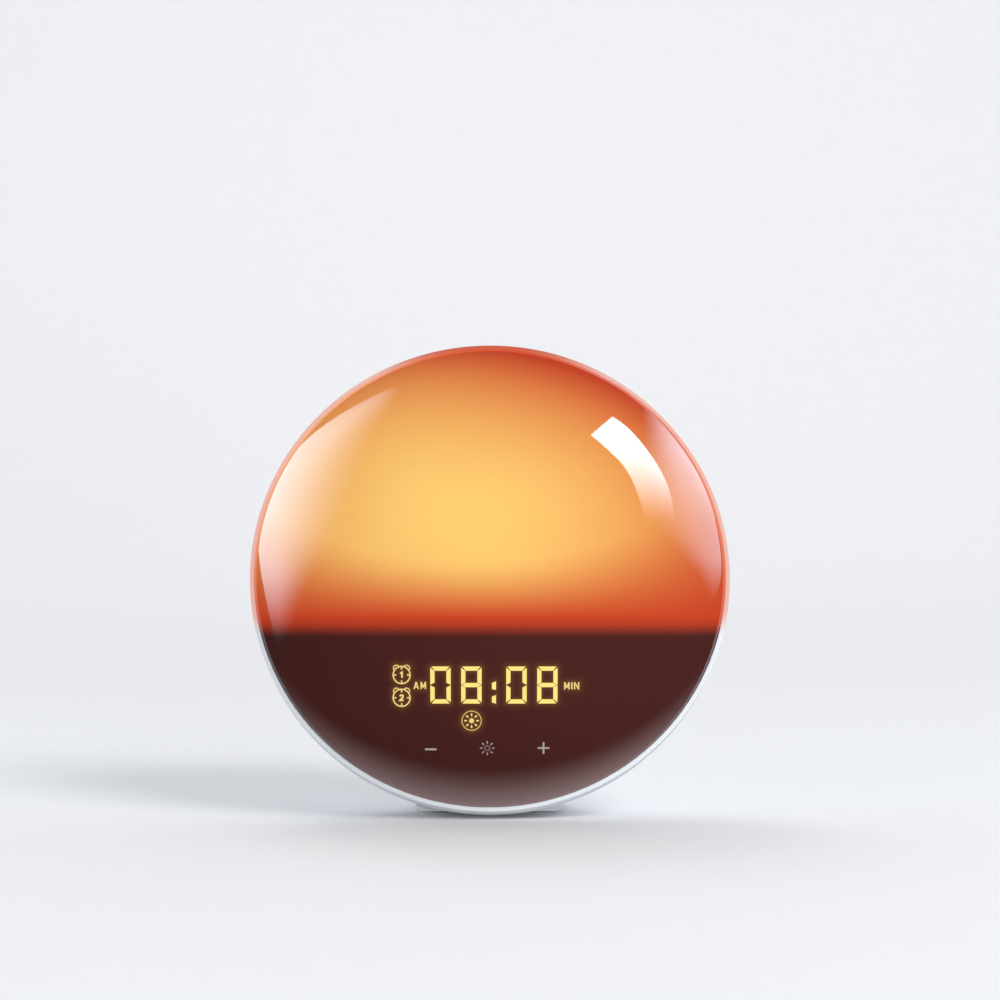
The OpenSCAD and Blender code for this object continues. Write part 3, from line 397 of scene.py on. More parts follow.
def thin_shells(name, shapes, place, rise):
    """A piece of thin shells, one for each ribbon; where ribbons cross, each lies a hair over the one before."""
    points, faces, count = [], [], 0
    for k, ribbon in enumerate(shapes):
        shell, shell_faces = ribbon_shell(ribbon, place, rise + OVER_STEP * (k % OVER_STEPS))
        points.append(shell)
        faces += [[i + count for i in f] for f in shell_faces]
        count += len(shell)
    return mesh_object(name, np.concatenate(points), faces, SHARP_OVER)


# ---------------------------------------------------------------- materials
COARSE_GRAIN, COARSE_SHARE = 420.0, 0.33       # scale of the second grain of a moulding, and its share of the height
DRIFT_SCALE = 24.0                     # of the slow drift of its colour and roughness
GRAIN_BUMP = 0.6                       # strength of the grain's bump
NOISE_LOW, NOISE_HIGH = 0.25, 0.75     # between which nearly all of a noise lies


def linear(r, g, b):
    """A colour written in 0 to 255 as the renderer's linear numbers, with alpha 1."""
    s = np.array([r, g, b]) / 255
    return tuple(np.where(s <= 0.04045, s / 12.92, ((s + 0.055) / 1.055) ** 2.4)) + (1.0,)


def grey(level):
    """A grey of that linear level, with alpha 1."""
    return level, level, level, 1.0


def feed(tree, node, inputs):
    """Gives a node's inputs, by name or index, their constants or links."""
    for key, value in inputs.items():
        if isinstance(value, bpy.types.NodeSocket):
            tree.links.new(value, node.inputs[key])
        else:
            node.inputs[key].default_value = value


def add_node(tree, kind, inputs=None, **settings):
    """A new node with its settings, and then its inputs."""
    node = tree.nodes.new(kind)
    for key, value in settings.items():
        setattr(node, key, value)
    feed(tree, node, inputs or {})
    return node


def new_material(name):
    """A material with one Principled shader; returns the material, its node tree and the shader."""
    material = bpy.data.materials.new(name)
    material.use_nodes = True
    return material, material.node_tree, material.node_tree.nodes["Principled BSDF"]


def object_place(tree):
    """Object coordinates, in metres."""
    return add_node(tree, "ShaderNodeTexCoord").outputs["Object"]


def noise(tree, vector, scale, detail=2.0):
    """A noise texture over a vector output."""
    return add_node(tree, "ShaderNodeTexNoise", {"Vector": vector, "Scale": scale, "Detail": detail}).outputs["Fac"]


def maths(tree, operation, a, b=None, clamp=False):
    """A Math node of one or two values, each an output or a number."""
    values = {0: a} if b is None else {0: a, 1: b}
    return add_node(tree, "ShaderNodeMath", values, operation=operation, use_clamp=clamp).outputs[0]


def remap(tree, value, low, high, least=0.0, smooth=True):
    """A clamped Map Range from low..high to least..1, eased at both ends unless smooth is off."""
    values = {"Value": value, "From Min": low, "From Max": high, "To Min": least, "To Max": 1.0}
    kind = "SMOOTHSTEP" if smooth else "LINEAR"
    return add_node(tree, "ShaderNodeMapRange", values, interpolation_type=kind).outputs["Result"]


def mix(tree, share, a, b, kind="MIX"):
    """A colour mix; each of share, a and b is an output or a constant."""
    values = {0: share, 6: a, 7: b}        # the sockets that the node has for colours
    return add_node(tree, "ShaderNodeMix", values, data_type="RGBA", blend_type=kind).outputs[2]


def scaled(tree, vector, share):
    """A vector or colour times a share; each is an output or a constant."""
    return add_node(tree, "ShaderNodeVectorMath", {0: vector, "Scale": share}, operation="SCALE").outputs[0]


def bump(tree, height, strength, depth):
    """The normal of a bump from a height; depth is in millimetres."""
    values = {"Height": height, "Strength": strength, "Distance": depth * MM}
    return add_node(tree, "ShaderNodeBump", values).outputs["Normal"]


def mould_grain_group():
    """Fine spark-eroded grain of a moulding: its height, and a colour and roughness that drift slightly.

    With d a slow noise less a half: colour x (1 + shift x d), roughness + spread x d. Height = fine noise + a share
    of a coarser one.
    """
    group = bpy.data.node_groups.new("mould_grain", "ShaderNodeTree")
    for key, kind, default in (("Grain", "Float", 2500.0), ("Colour", "Color", grey(0.8)), ("Shift", "Float", 0.06),
                               ("Roughness", "Float", 0.4), ("Spread", "Float", 0.08)):
        group.interface.new_socket(key, in_out="INPUT", socket_type="NodeSocket" + kind).default_value = default
    for key, kind in (("Colour", "Color"), ("Roughness", "Float"), ("Height", "Float")):
        group.interface.new_socket(key, in_out="OUTPUT", socket_type="NodeSocket" + kind)
    given = add_node(group, "NodeGroupInput").outputs
    calc, place = partial(maths, group), object_place(group)
    fine = noise(group, place, given["Grain"])
    coarse = noise(group, place, COARSE_GRAIN, 3.0)
    drift = calc("SUBTRACT", noise(group, place, DRIFT_SCALE, 3.0), 0.5)
    level = calc("ADD", 1.0, calc("MULTIPLY", drift, given["Shift"]))
    add_node(group, "NodeGroupOutput", {
        "Colour": scaled(group, given["Colour"], level),
        "Roughness": calc("ADD", given["Roughness"], calc("MULTIPLY", drift, given["Spread"])),
        "Height": calc("ADD", fine, calc("MULTIPLY", coarse, COARSE_SHARE))})
    return group


mould_grain = mould_grain_group()


def grained(name, colour, roughness, grain=2500.0, depth=0.02, shift=0.06, metallic=0.0, specular=0.5):
    """A moulded or rolled surface: the grain group feeds colour, roughness and a bump, depth millimetres deep."""
    material, tree, shader = new_material(name)
    values = {"Grain": grain, "Colour": linear(*colour), "Shift": shift, "Roughness": roughness}
    varied = add_node(tree, "ShaderNodeGroup", values, node_tree=mould_grain).outputs
    feed(tree, shader, {"Base Color": varied["Colour"], "Roughness": varied["Roughness"], "Metallic": metallic,
                        "Specular IOR Level": specular, "Normal": bump(tree, varied["Height"], GRAIN_BUMP, depth)})
    return material


# The lamp's glow through the dome: how far its colour has gone from the bright middle to the red edge
GLOW_CENTRE = (-13.0, 8.0)             # of the bright middle, across and up the face
GLOW_HALF = (112.0, 76.9)              # half width and half height of the rounded oval in which it fades
GLOW_TURN = -15.8                      # degrees that the oval is turned
GLOW_SQUARE = 2.8                      # the oval's exponent: 2 is an ellipse, more is squarer
GLOW_CORE, GLOW_POWER = 0.054, 1.669   # share of the oval that is fully bright, and the fade's power
LOWER_START, LOWER_SLANT, LOWER_BOW = 22.0, 0.052, 0.0036   # height over the baffle where the lower fade begins
LOWER_END, LOWER_POWER = 2.45, 1.411   # height where it is complete, and its power
BORDER_SOFT = 4.6                      # half width of the soft edge between light and dark
FADE_CENTRE, FADE_START, FADE_END, FADE_POWER = 18.3, 92.8, 106.2, 1.6   # circle outside which the dark skin takes a painted reflection of the pale floor
GLOW_STOPS = (                         # share of the way to red, colour
    (0.0, (251, 202, 112)), (0.2, (242, 178, 98)), (0.4, (232, 154, 84)), (0.6, (222, 128, 69)),
    (0.8, (210, 98, 53)), (1.0, (198, 66, 36)))
PLUM_DARK = (69, 33, 30)
# colour of the painted reflection of the pale floor on the dark skin near the rim
PAINTED_REFLECTION_PLUM = (164, 142, 141)
HALO_YELLOW = (255, 196, 74)
GLOW_SHARE = 0.69                      # of the glow's colour that is given out as light; the rest is painted into the skin's base colour
SPILL_RED = (205, 97, 68)              # the lamp's light on the frame's lip, at the top
LIP_BLUSH = (231, 183, 170)            # the lamp's painted light on the lip, further down
SPILL_GLOW = 0.62                      # the share of that colour that is given out as light; the rest is painted into the base colour
SPILL_SOFT = 5.0                       # half width of the light's soft edge, over and under the baffle
SPILL_DEPTH = (-2.6, -0.4)             # z, behind the lip's crest, between which it fades in towards the front
SPILL_TOP = (74.0, 87.0)               # heights between which it turns red
DOME_MOTTLE, GLOW_MOTTLE = 16.0, 0.02  # scale of the skin's unevenness, and its share in the glow
DOME_ROUGH, DOME_ROUGH_MORE = 0.03, 0.02       # least roughness of the skin, and what its unevenness adds
DOME_IOR = 1.5
SIGN_MOTTLE, SIGN_DIMMEST = 260.0, 0.93        # scale of the lit signs' unevenness, and their least level
SIGN_OWN = 0.12                        # the share of a sign's light that is also painted into its base colour
SIGN_ROUGH = 0.05


def in_frame(tree, vector, location, angles, scale):
    """A vector seen from a frame at location, turned by angles, with scale as its unit."""
    values = {"Vector": vector, "Location": location, "Rotation": angles, "Scale": scale}
    return add_node(tree, "ShaderNodeMapping", values, vector_type="TEXTURE").outputs["Vector"]


def split(tree, vector):
    """The three numbers of a vector."""
    return add_node(tree, "ShaderNodeSeparateXYZ", {0: vector}).outputs


def body_places(tree):
    """Object coordinates, the same in the body frame in millimetres, and the height over the baffle's plane."""
    place, upright = object_place(tree), math.pi / 2 - lean
    face = in_frame(tree, place, BODY_ORIGIN * MM, (upright, 0, 0), (MM, MM, MM))
    tilt = (upright + math.radians(BORDER_ANGLE), 0, 0)
    return place, face, split(tree, in_frame(tree, place, BORDER_ORIGIN * MM, tilt, (MM, MM, MM)))[1]


def dome_skin_material():
    """Glossy skin of the dome: the lamp's glow above the baffle, dark skin below it with a painted floor reflection
    at its rim, the digits' halo.

    glow = 1 - (1 - oval)(1 - lower). Oval is 0 in the core, 1 at the oval's edge, by a power of the way between;
    that way is (|u|^n + |v|^n)^(1/n) in the oval's own frame.
    Lower = ((s - h) / (s - end)) ^ power for the height h over the baffle, with s = start + slant x + bow x^2.
    The border is an eased step in h. Below it a painted reflection of the pale floor turns the dark paler, by a power
    of the way from one circle on the face to a wider one. The halo attribute mixes in the signs' light.
    """
    material, tree, shader = new_material("dome_skin")
    calc = partial(maths, tree)
    place, face, over_baffle = body_places(tree)
    across = split(tree, face)[0]
    flat = add_node(tree, "ShaderNodeVectorMath", {0: face, 1: (1, 1, 0)}, operation="MULTIPLY").outputs[0]
    oval = in_frame(tree, flat, (*GLOW_CENTRE, 0), (0, 0, math.radians(GLOW_TURN)), (*GLOW_HALF, 1))
    u, v = (calc("POWER", calc("ABSOLUTE", part), GLOW_SQUARE) for part in split(tree, oval)[:2])
    out = calc("POWER", calc("ADD", u, v), 1 / GLOW_SQUARE)
    away = calc("POWER", remap(tree, out, GLOW_CORE, 1.0, smooth=False), GLOW_POWER)
    bow = calc("MULTIPLY", calc("ADD", calc("MULTIPLY", across, LOWER_BOW), LOWER_SLANT), across)
    start = calc("ADD", bow, LOWER_START)
    lower = calc("DIVIDE", calc("SUBTRACT", start, over_baffle), calc("SUBTRACT", start, LOWER_END), True)
    lower = calc("POWER", lower, LOWER_POWER)
    bright = calc("MULTIPLY", calc("SUBTRACT", 1.0, away), calc("SUBTRACT", 1.0, lower))
    slow = noise(tree, place, DOME_MOTTLE)
    glow = calc("ADD", calc("SUBTRACT", 1.0, bright), calc("MULTIPLY", calc("SUBTRACT", slow, 0.5), GLOW_MOTTLE))

    ramp = add_node(tree, "ShaderNodeValToRGB", {0: glow})
    ramp.color_ramp.interpolation = "LINEAR"
    stops = ramp.color_ramp.elements
    while len(stops) < len(GLOW_STOPS):
        stops.new(0.5)
    for element, (at, colour) in zip(stops, GLOW_STOPS):
        element.position, element.color = at, linear(*colour)
    light = ramp.outputs["Color"]

    # painted reflection of the pale floor: the dark skin turns paler from one circle to a wider one towards the rim
    circle = add_node(tree, "ShaderNodeVectorMath", {0: flat, 1: (0, FADE_CENTRE, 0)}, operation="DISTANCE")
    painted_reflection = calc("POWER", remap(tree, circle.outputs["Value"], FADE_START, FADE_END, smooth=False), FADE_POWER)
    dark = mix(tree, painted_reflection, linear(*PLUM_DARK), linear(*PAINTED_REFLECTION_PLUM))
    lit = remap(tree, over_baffle, -BORDER_SOFT, BORDER_SOFT)
    # above the baffle the base colour is the glow's colour times 1 - GLOW_SHARE: the lamp's glow painted into the
    # skin
    shade = mix(tree, lit, grey(1.0), grey(1 - GLOW_SHARE))
    given_out = mix(tree, 1.0, light, mix(tree, lit, grey(0.0), grey(GLOW_SHARE)), "MULTIPLY")
    halo = add_node(tree, "ShaderNodeAttribute", attribute_name="halo").outputs["Fac"]
    feed(tree, shader, {"Base Color": mix(tree, 1.0, mix(tree, lit, dark, light), shade, "MULTIPLY"),
                        "Emission Color": mix(tree, halo, given_out, linear(*HALO_YELLOW)), "Emission Strength": 1.0,
                        "Roughness": calc("ADD", DOME_ROUGH, calc("MULTIPLY", slow, DOME_ROUGH_MORE)),
                        "IOR": DOME_IOR})
    return material


def add_spill(material):
    """Adds to the frame's moulding the lamp's light that bleeds onto the lip above the baffle.

    share = eased height over the baffle x eased way from behind the lip to its crest. There the moulding takes the
    tint of that light as painted light: most of it given out and the rest painted into its base colour.
    """
    tree = material.node_tree
    shader = tree.nodes["Principled BSDF"]
    _, face, over_baffle = body_places(tree)
    _, y, z = split(tree, face)
    above = remap(tree, over_baffle, -SPILL_SOFT, SPILL_SOFT)
    share = maths(tree, "MULTIPLY", above, remap(tree, z, *SPILL_DEPTH))
    crown = maths(tree, "MULTIPLY", remap(tree, y, *SPILL_TOP), share)
    own = shader.inputs["Base Color"].links[0].from_socket
    tint = mix(tree, crown, linear(*LIP_BLUSH), linear(*SPILL_RED))
    shade = mix(tree, 1.0, tint, grey(1 - SPILL_GLOW), "MULTIPLY")
    feed(tree, shader, {"Base Color": mix(tree, share, own, shade), "Emission Strength": SPILL_GLOW,
                        "Emission Color": mix(tree, share, grey(0.0), tint)})
    return material


def light_material(name, colour):
    """Light of the display seen through the skin: slightly uneven, glossy like the dome."""
    material, tree, shader = new_material(name)
    mottle = noise(tree, object_place(tree), SIGN_MOTTLE)
    level = remap(tree, mottle, NOISE_LOW, NOISE_HIGH, SIGN_DIMMEST, smooth=False)
    light, own = linear(*colour)[:3], maths(tree, "MULTIPLY", level, SIGN_OWN)
    feed(tree, shader, {"Emission Color": scaled(tree, light, level), "Emission Strength": 1.0,
                        "Base Color": scaled(tree, light, own), "Roughness": SIGN_ROUGH})
    return material


# ---------------------------------------------------------------- dome
DOME_ROWS = ((-88.8, -53, 1.2), (-52.8, -27, 0.26), (-27, 90, 1.2))     # phi in degrees: from, to, step
DOME_COLUMNS = ((-1, -0.55, 30), (-0.55, 0.55, 200), (0.55, 1, 30))     # s: from, to, count
INNER_RINGS = 26                       # from the inner rim to the middle
HALO_PEAK, HALO_REACH, HALO_CUT = 0.075, 0.9, 3.0       # halo beside the lit shapes: strength, reach, cut-off
HALO_HALF, HALO_LOW, HALO_HIGH = 37, -50, -21           # half width, low and high edge of where it is worked out
HALO_FRONT = 60                        # and how far in front of the sphere's centre
HALO_BATCH = 2000                      # points of the skin taken at a time


def dome_shell():
    """The dome as one closed shell, in the body frame's millimetres.

    Outside: z = c + sqrt(r^2 - x^2 - y^2) over a grid of rows y = R sin(phi) and columns x = s sqrt(R^2 - y^2),
    both closer together round the display. Below its rim follow the straight skirt, its foot, and an inner
    sphere in rings that close in one point.
    """
    phi = np.radians(np.concatenate([np.arange(*run) for run in DOME_ROWS]))
    s = np.unique(np.concatenate([np.linspace(*run) for run in DOME_COLUMNS]))
    y = dome_r * np.sin(phi)
    x = s[None, :] * np.sqrt(dome_r ** 2 - y ** 2)[:, None]
    y = np.repeat(y[:, None], len(s), 1)
    inside = np.clip(sphere_r ** 2 - x ** 2 - y ** 2, 0, None)
    outer = np.stack([x, y, sphere_z + np.sqrt(inside)], -1).reshape(-1, 3)
    rows, columns = len(phi), len(s)
    points = [outer, [[0, -dome_r, 0], [0, dome_r, 0]]]
    low_pole, top_pole = rows * columns, rows * columns + 1
    faces = grid_faces(rows, columns)
    c = np.arange(columns - 1)
    last = (rows - 1) * columns
    faces += np.stack([np.full_like(c, low_pole), c + 1, c], -1).tolist()
    faces += np.stack([np.full_like(c, top_pole), last + c, last + c + 1], -1).tolist()
    # the rim, once round, anticlockwise as seen from the front
    right = np.arange(rows) * columns + columns - 1
    left = np.arange(rows)[::-1] * columns
    rim = np.concatenate([[low_pole], right, [top_pole], left])
    n = len(rim)
    rim_xy = np.concatenate(points)[rim][:, :2]
    rim_xy /= np.linalg.norm(rim_xy, axis=1)[:, None]
    inner_r = sphere_r - DOME_T
    inner_rim = math.sqrt(inner_r ** 2 - sphere_z ** 2)
    profile = [(dome_r, -SEAT_DEPTH), (inner_rim, -SEAT_DEPTH), (inner_rim, 0.0)]
    angles = np.linspace(math.asin(inner_rim / inner_r), 0, INNER_RINGS)[1:-1]
    profile += [(inner_r * math.sin(a), sphere_z + inner_r * math.cos(a)) for a in angles]
    first = low_pole + 2
    loops = [rim] + [first + k * n + np.arange(n) for k in range(len(profile))]
    for r, z in profile:
        points.append(np.concatenate([rim_xy * r, np.full((n, 1), z)], 1))
    for a, b in zip(loops[:-1], loops[1:]):
        faces += np.stack([np.roll(a, -1), a, b, np.roll(b, -1)], -1).tolist()
    points.append([[0, 0, sphere_z + inner_r]])
    centre = first + len(profile) * n
    faces += np.stack([np.roll(loops[-1], -1), loops[-1], np.full(n, centre)], -1).tolist()
    return np.concatenate([np.asarray(p, float) for p in points]), faces


def halo_of(points, shapes):
    """How strongly each point of the skin glows, by its distance d to the lit shapes.

    The strength is peak x exp(-d / reach) x exp(-(d / cut)^2), and 0 away from the display.
    """
    local = (points - SPHERE_CENTRE) @ SIGHT_AXES.T
    u, v, w = local.T
    near = np.nonzero((np.abs(u) < HALO_HALF) & (v > HALO_LOW) & (v < HALO_HIGH) & (w > HALO_FRONT))[0]
    lit = np.concatenate([r[:, 0] * (1 - t) + r[:, 1] * t for r in shapes for t in (0, 0.25, 0.5, 0.75, 1)])
    halo = np.zeros(len(points), np.float32)
    for part in np.array_split(near, max(1, len(near) // HALO_BATCH)):
        d = np.sqrt(((local[part, None, :2] - lit[None]) ** 2).sum(-1).min(1))
        halo[part] = HALO_PEAK * np.exp(-d / HALO_REACH) * np.exp(-(d / HALO_CUT) ** 2)
    return halo


shell_points, shell_faces = dome_shell()
row_points = BODY_ORIGIN + shell_points @ BODY_AXES
dome_skin = mesh_object("dome_skin", row_points * MM, shell_faces, DOME_SHARP_OVER)
halo_layer = dome_skin.data.attributes.new("halo", "FLOAT", "POINT")
halo_layer.data.foreach_set("value", halo_of(row_points, [r for shapes in display_shapes.values() for r in shapes]))
finish_piece(dome_skin, "clock", dome_skin_material(), ["dome"])

sign_yellow = light_material("sign_yellow", (234, 205, 128))
display_lights = {"display_time": light_material("display_yellow", (253, 225, 128)),
                  "display_icon_ring": light_material("ring_yellow", (214, 178, 112))}
for piece_name, shapes in display_shapes.items():
    finish_piece(thin_shells(piece_name, shapes, on_dome, LIGHT_RISE), "clock",
                 display_lights.get(piece_name, sign_yellow))
TOUCH_PRINTS = {"touch_minus": (178, 166, 162), "touch_sun_rays": (172, 148, 148),
                "touch_sun_ring": (138, 120, 120), "touch_plus": (166, 157, 153)}
for piece_name, shapes in touch_shapes.items():
    touch_print = grained(piece_name, TOUCH_PRINTS[piece_name], 0.12, shift=0.05, depth=0.002)
    finish_piece(thin_shells(piece_name, shapes, on_dome, PRINT_RISE), "clock", touch_print)

# ---------------------------------------------------------------- prints on the back
key_print = grained("key_print", (78, 82, 88), 0.5, shift=0.1, depth=0.003)
for k, (key, shapes) in enumerate(KEY_SIGNS.items()):
    a = math.radians(90 - (k - (len(KEY_SIGNS) - 1) / 2) * KEY_PITCH)
    middle = np.array([-math.cos(a), math.sin(a)]) * KEY_ARC_R
    piece = thin_shells(key + "_sign", [shape + middle for shape in shapes], on_key, PRINT_RISE)
    finish_piece(piece, "key_body_%d" % (k + 1), key_print)
door_marks = [shape + [-DOOR_AT[0], DOOR_AT[1]] for shape in DOOR_MARKS]
finish_piece(thin_shells("door_marks", door_marks, on_back, PRINT_RISE), "clock", key_print)

# ---------------------------------------------------------------- finishes of the solids
CLOTH_PITCH, CLOTH_DEPTH = 0.42, 0.12  # of the weave, in millimetres
CLOTH_DARK, CLOTH_THREAD = (14, 14, 15), (66, 66, 68)
CLOTH_FUZZ = 3000.0                    # scale of the threads' unevenness
CLOTH_LEAST, CLOTH_MORE = 0.7, 0.6     # what multiplies their height: least, and what the noise adds


def mesh_cloth():
    """Dust cloth behind the grille: a plain weave of fine threads.

    Height = |sin(pi x / pitch)| where the thread along y lies on top, |sin(pi y / pitch)| where the other one does;
    which one does changes with the sign of sin(pi x / pitch) sin(pi y / pitch).
    """
    material, tree, shader = new_material("mesh_cloth")
    calc = partial(maths, tree)
    place, face, _ = body_places(tree)
    along, across = (calc("SINE", calc("MULTIPLY", axis, math.pi / CLOTH_PITCH)) for axis in split(tree, face)[:2])
    over = calc("GREATER_THAN", calc("MULTIPLY", along, across), 0.0)
    height = calc("ADD", calc("MULTIPLY", over, calc("ABSOLUTE", along)),
                  calc("MULTIPLY", calc("SUBTRACT", 1.0, over), calc("ABSOLUTE", across)))
    fuzz = calc("MULTIPLY", noise(tree, place, CLOTH_FUZZ), CLOTH_MORE)
    level = calc("MULTIPLY", height, calc("ADD", CLOTH_LEAST, fuzz))
    feed(tree, shader, {"Base Color": mix(tree, level, linear(*CLOTH_DARK), linear(*CLOTH_THREAD)), "Roughness": 0.85,
                        "Specular IOR Level": 0.25, "Normal": bump(tree, level, 0.8, CLOTH_DEPTH)})
    return material


FINISHES = {                           # colour, roughness, grain and its depth, drift of colour, metallic, specular
    "white_plastic": ((236, 238, 240), 0.34, 1900.0, 0.015, 0.03),
    "foot_plastic": ((222, 227, 232), 0.42, 1900.0, 0.02, 0.04),
    "rubber": ((92, 94, 98), 0.8, 1400.0, 0.04, 0.12, 0.0, 0.3),
    "key_plastic": ((205, 209, 214), 0.36, 2200.0, 0.015, 0.03),
    "plunger_plastic": ((208, 96, 58), 0.5),
    "black_plastic": ((32, 32, 34), 0.45, 1600.0, 0.03, 0.15),
    "steel": ((205, 206, 208), 0.28, 900.0, 0.006, 0.08, 1.0),
    "contact_brass": ((214, 186, 120), 0.3, 900.0, 0.006, 0.1, 1.0),
    "green_board": ((28, 96, 60), 0.3, 700.0, 0.01, 0.12),
    "white_board": ((232, 232, 228), 0.3, 700.0, 0.01, 0.04),
    "led_phosphor": ((244, 212, 120), 0.35, 1500.0, 0.02, 0.1),
    "plug_nylon": ((228, 220, 196), 0.45),
    "capacitor_can": ((180, 182, 188), 0.3, 1200.0, 0.01, 0.1, 1.0),
    "cone_paper": ((44, 43, 42), 0.8, 1300.0, 0.06, 0.25, 0.0, 0.2),
    "magnet_steel": ((120, 122, 126), 0.4, 900.0, 0.01, 0.1, 1.0),
    "basket_steel": ((52, 52, 54), 0.45, 1200.0, 0.02, 0.15),
    "red_lead": ((188, 44, 36), 0.5),
    "grey_lead": ((170, 170, 174), 0.5),
    "black_lead": ((38, 38, 38), 0.5),
}
finishes = {name: grained(name, *values) for name, values in FINISHES.items()}
finishes["mesh_cloth"] = mesh_cloth()
# the frame is a greyer copy of the white moulding as painted shade for its lip, and takes a painted spill of the
# lamp's light
own_finishes = {"front_frame": add_spill(grained("frame_painted_shade_and_spill", (226, 231, 236), 0.34, 1900.0, 0.015, 0.03))}
slots = {part["node"]: part["material_slot"] for part in frame["record"]["subparts"]}
WELD_BELOW = 0.00001                   # corners of a solid that are closer than this many metres are joined


def smooth_group():
    """Geometry nodes that shade smooth, with edges over SHARP_OVER degrees kept sharp."""
    tree = bpy.data.node_groups.new("smooth_by_angle", "GeometryNodeTree")
    for way in ("INPUT", "OUTPUT"):
        tree.interface.new_socket("Geometry", in_out=way, socket_type="NodeSocketGeometry")
    angle = add_node(tree, "GeometryNodeInputMeshEdgeAngle").outputs["Unsigned Angle"]
    over = add_node(tree, "FunctionNodeCompare", {0: angle, 1: math.radians(SHARP_OVER)}, data_type="FLOAT",
                    operation="GREATER_THAN").outputs[0]
    whole = add_node(tree, "GeometryNodeSetShadeSmooth", {"Geometry": add_node(tree, "NodeGroupInput").outputs[0]},
                     domain="FACE").outputs[0]
    values = {"Geometry": whole, "Selection": over, "Shade Smooth": False}
    sharp = add_node(tree, "GeometryNodeSetShadeSmooth", values, domain="EDGE").outputs[0]
    add_node(tree, "NodeGroupOutput", {0: sharp})
    return tree


smooth_by_angle = smooth_group()
for node_name, node in frame["nodes"].items():
    node.data.materials.clear()
    finish = finishes.get(slots[node_name], finishes["black_plastic"])      # the dome's own solid is hidden
    node.data.materials.append(own_finishes.get(node_name, finish))
    weld = node.modifiers.new("weld", "WELD")
    weld.merge_threshold = WELD_BELOW
    smooth = node.modifiers.new("smooth", "NODES")
    smooth.node_group = smooth_by_angle


# ---------------------------------------------------------------- studio
CLOCK_MIDDLE = (0.0, 0.0, 0.09)        # of the clock, in metres
CARD_REACH = 0.6                       # metres from the dome to a light card
CARD_ROWS, CARD_COLUMNS, CARD_DEGREE = 64, 24, 6
TENT_ROWS, TENT_COLUMNS = 60, 72
TENT_LIGHT = 0.03
PAPER, PAPER_MOTTLE, PAPER_DIMMEST = (243, 243, 245), 60.0, 0.985
SKY, SKY_STRENGTH = (0.95, 0.97, 1.0, 1), 0.54


def emitter(name, colour, strength, fade=None):
    """A light-giving surface. One with a fade, a mesh attribute that dims it, lets what is behind it through."""
    material, tree, _ = new_material(name)
    tree.nodes.clear()
    if fade:
        dimmer = add_node(tree, "ShaderNodeAttribute", attribute_name=fade).outputs["Fac"]
        strength = maths(tree, "MULTIPLY", dimmer, strength)
    surface = add_node(tree, "ShaderNodeEmission", {"Color": linear(*colour), "Strength": strength}).outputs[0]
    if fade:
        clear = add_node(tree, "ShaderNodeBsdfTransparent").outputs[0]
        surface = add_node(tree, "ShaderNodeAddShader", {0: surface, 1: clear}).outputs[0]
    add_node(tree, "ShaderNodeOutputMaterial", {"Surface": surface})
    return material


def only_mirrored(piece):
    """Makes a studio surface one that is seen in gloss alone, and lights nothing."""
    for ray in ("camera", "diffuse", "transmission", "volume_scatter", "shadow"):
        setattr(piece, "visible_" + ray, False)


def pale_paper():
    """The floor and backdrop's finish: pale and matt, with a faint mottle."""
    material, tree, shader = new_material("cove_paper")
    pale = linear(*PAPER)
    low = tuple(PAPER_DIMMEST * c for c in pale[:3]) + (1.0,)
    mottle = noise(tree, object_place(tree), PAPER_MOTTLE)
    feed(tree, shader, {"Base Color": mix(tree, mottle, low, pale), "Roughness": 0.9, "Specular IOR Level": 0.1})
    return material


def cove(width=12.0, front=-9.0, back=2.2, height=4.0, bend=0.9):
    """Floor and backdrop in one sweep: flat to the bend, a quarter circle, then upright."""
    a = np.linspace(0, math.pi / 2, 17)
    y = np.concatenate([[front], back - bend + bend * np.sin(a), [back]])
    z = np.concatenate([[0], bend - bend * np.cos(a), [height]])
    points = np.stack([np.stack([np.full_like(y, x), y, z], -1) for x in (-width / 2, width / 2)], 1).reshape(-1, 3)
    piece = mesh_object("studio_cove", points, grid_faces(len(y), 2), STUDIO_SHARP_OVER)
    piece.data.materials.append(pale_paper())
    piece.visible_glossy = False


def dark_tent(radius=1.5, window_from=140.0, window_low=-40.0, window_high=20.0):
    """Dark cloth that the gloss mirrors: a ball round the clock with a window behind it.

    Left out are the faces whose middle lies further round from the front than window_from degrees, between the two
    elevations.
    """
    azimuth = np.radians(np.linspace(0, 360, TENT_COLUMNS, endpoint=False))[None, :]
    elevation = np.radians(np.linspace(-89.5, 89.5, TENT_ROWS))[:, None]
    ball = np.stack([np.cos(elevation) * np.cos(azimuth), np.cos(elevation) * np.sin(azimuth),
                     np.sin(elevation) + 0 * azimuth], -1).reshape(-1, 3)
    faces = np.array(grid_faces(TENT_ROWS, TENT_COLUMNS, closed=True))
    middle = ball[faces].mean(1)
    from_front = np.degrees(np.abs(np.arctan2(middle[:, 0], -middle[:, 1])))
    height = np.degrees(np.arcsin(middle[:, 2]))
    window = (from_front > window_from) & (height > window_low) & (height < window_high)
    piece = mesh_object("dark_tent", radius * ball + CLOCK_MIDDLE, faces[~window].tolist(), STUDIO_SHARP_OVER)
    piece.data.materials.append(emitter("tent_cloth", (255, 250, 246), TENT_LIGHT))
    only_mirrored(piece)


def picture_ray(px, py):
    """Directions from the camera through picture points, in pixels from the upper left corner."""
    right, up = np.array([1.0, 0, 0]), np.cross([1.0, 0, 0], look)
    x, y = (px[..., None] - PICTURE / 2) / FOCAL_PX, (PICTURE / 2 - py[..., None]) / FOCAL_PX
    v = look + x * right + y * up
    return v / np.linalg.norm(v, axis=-1, keepdims=True)


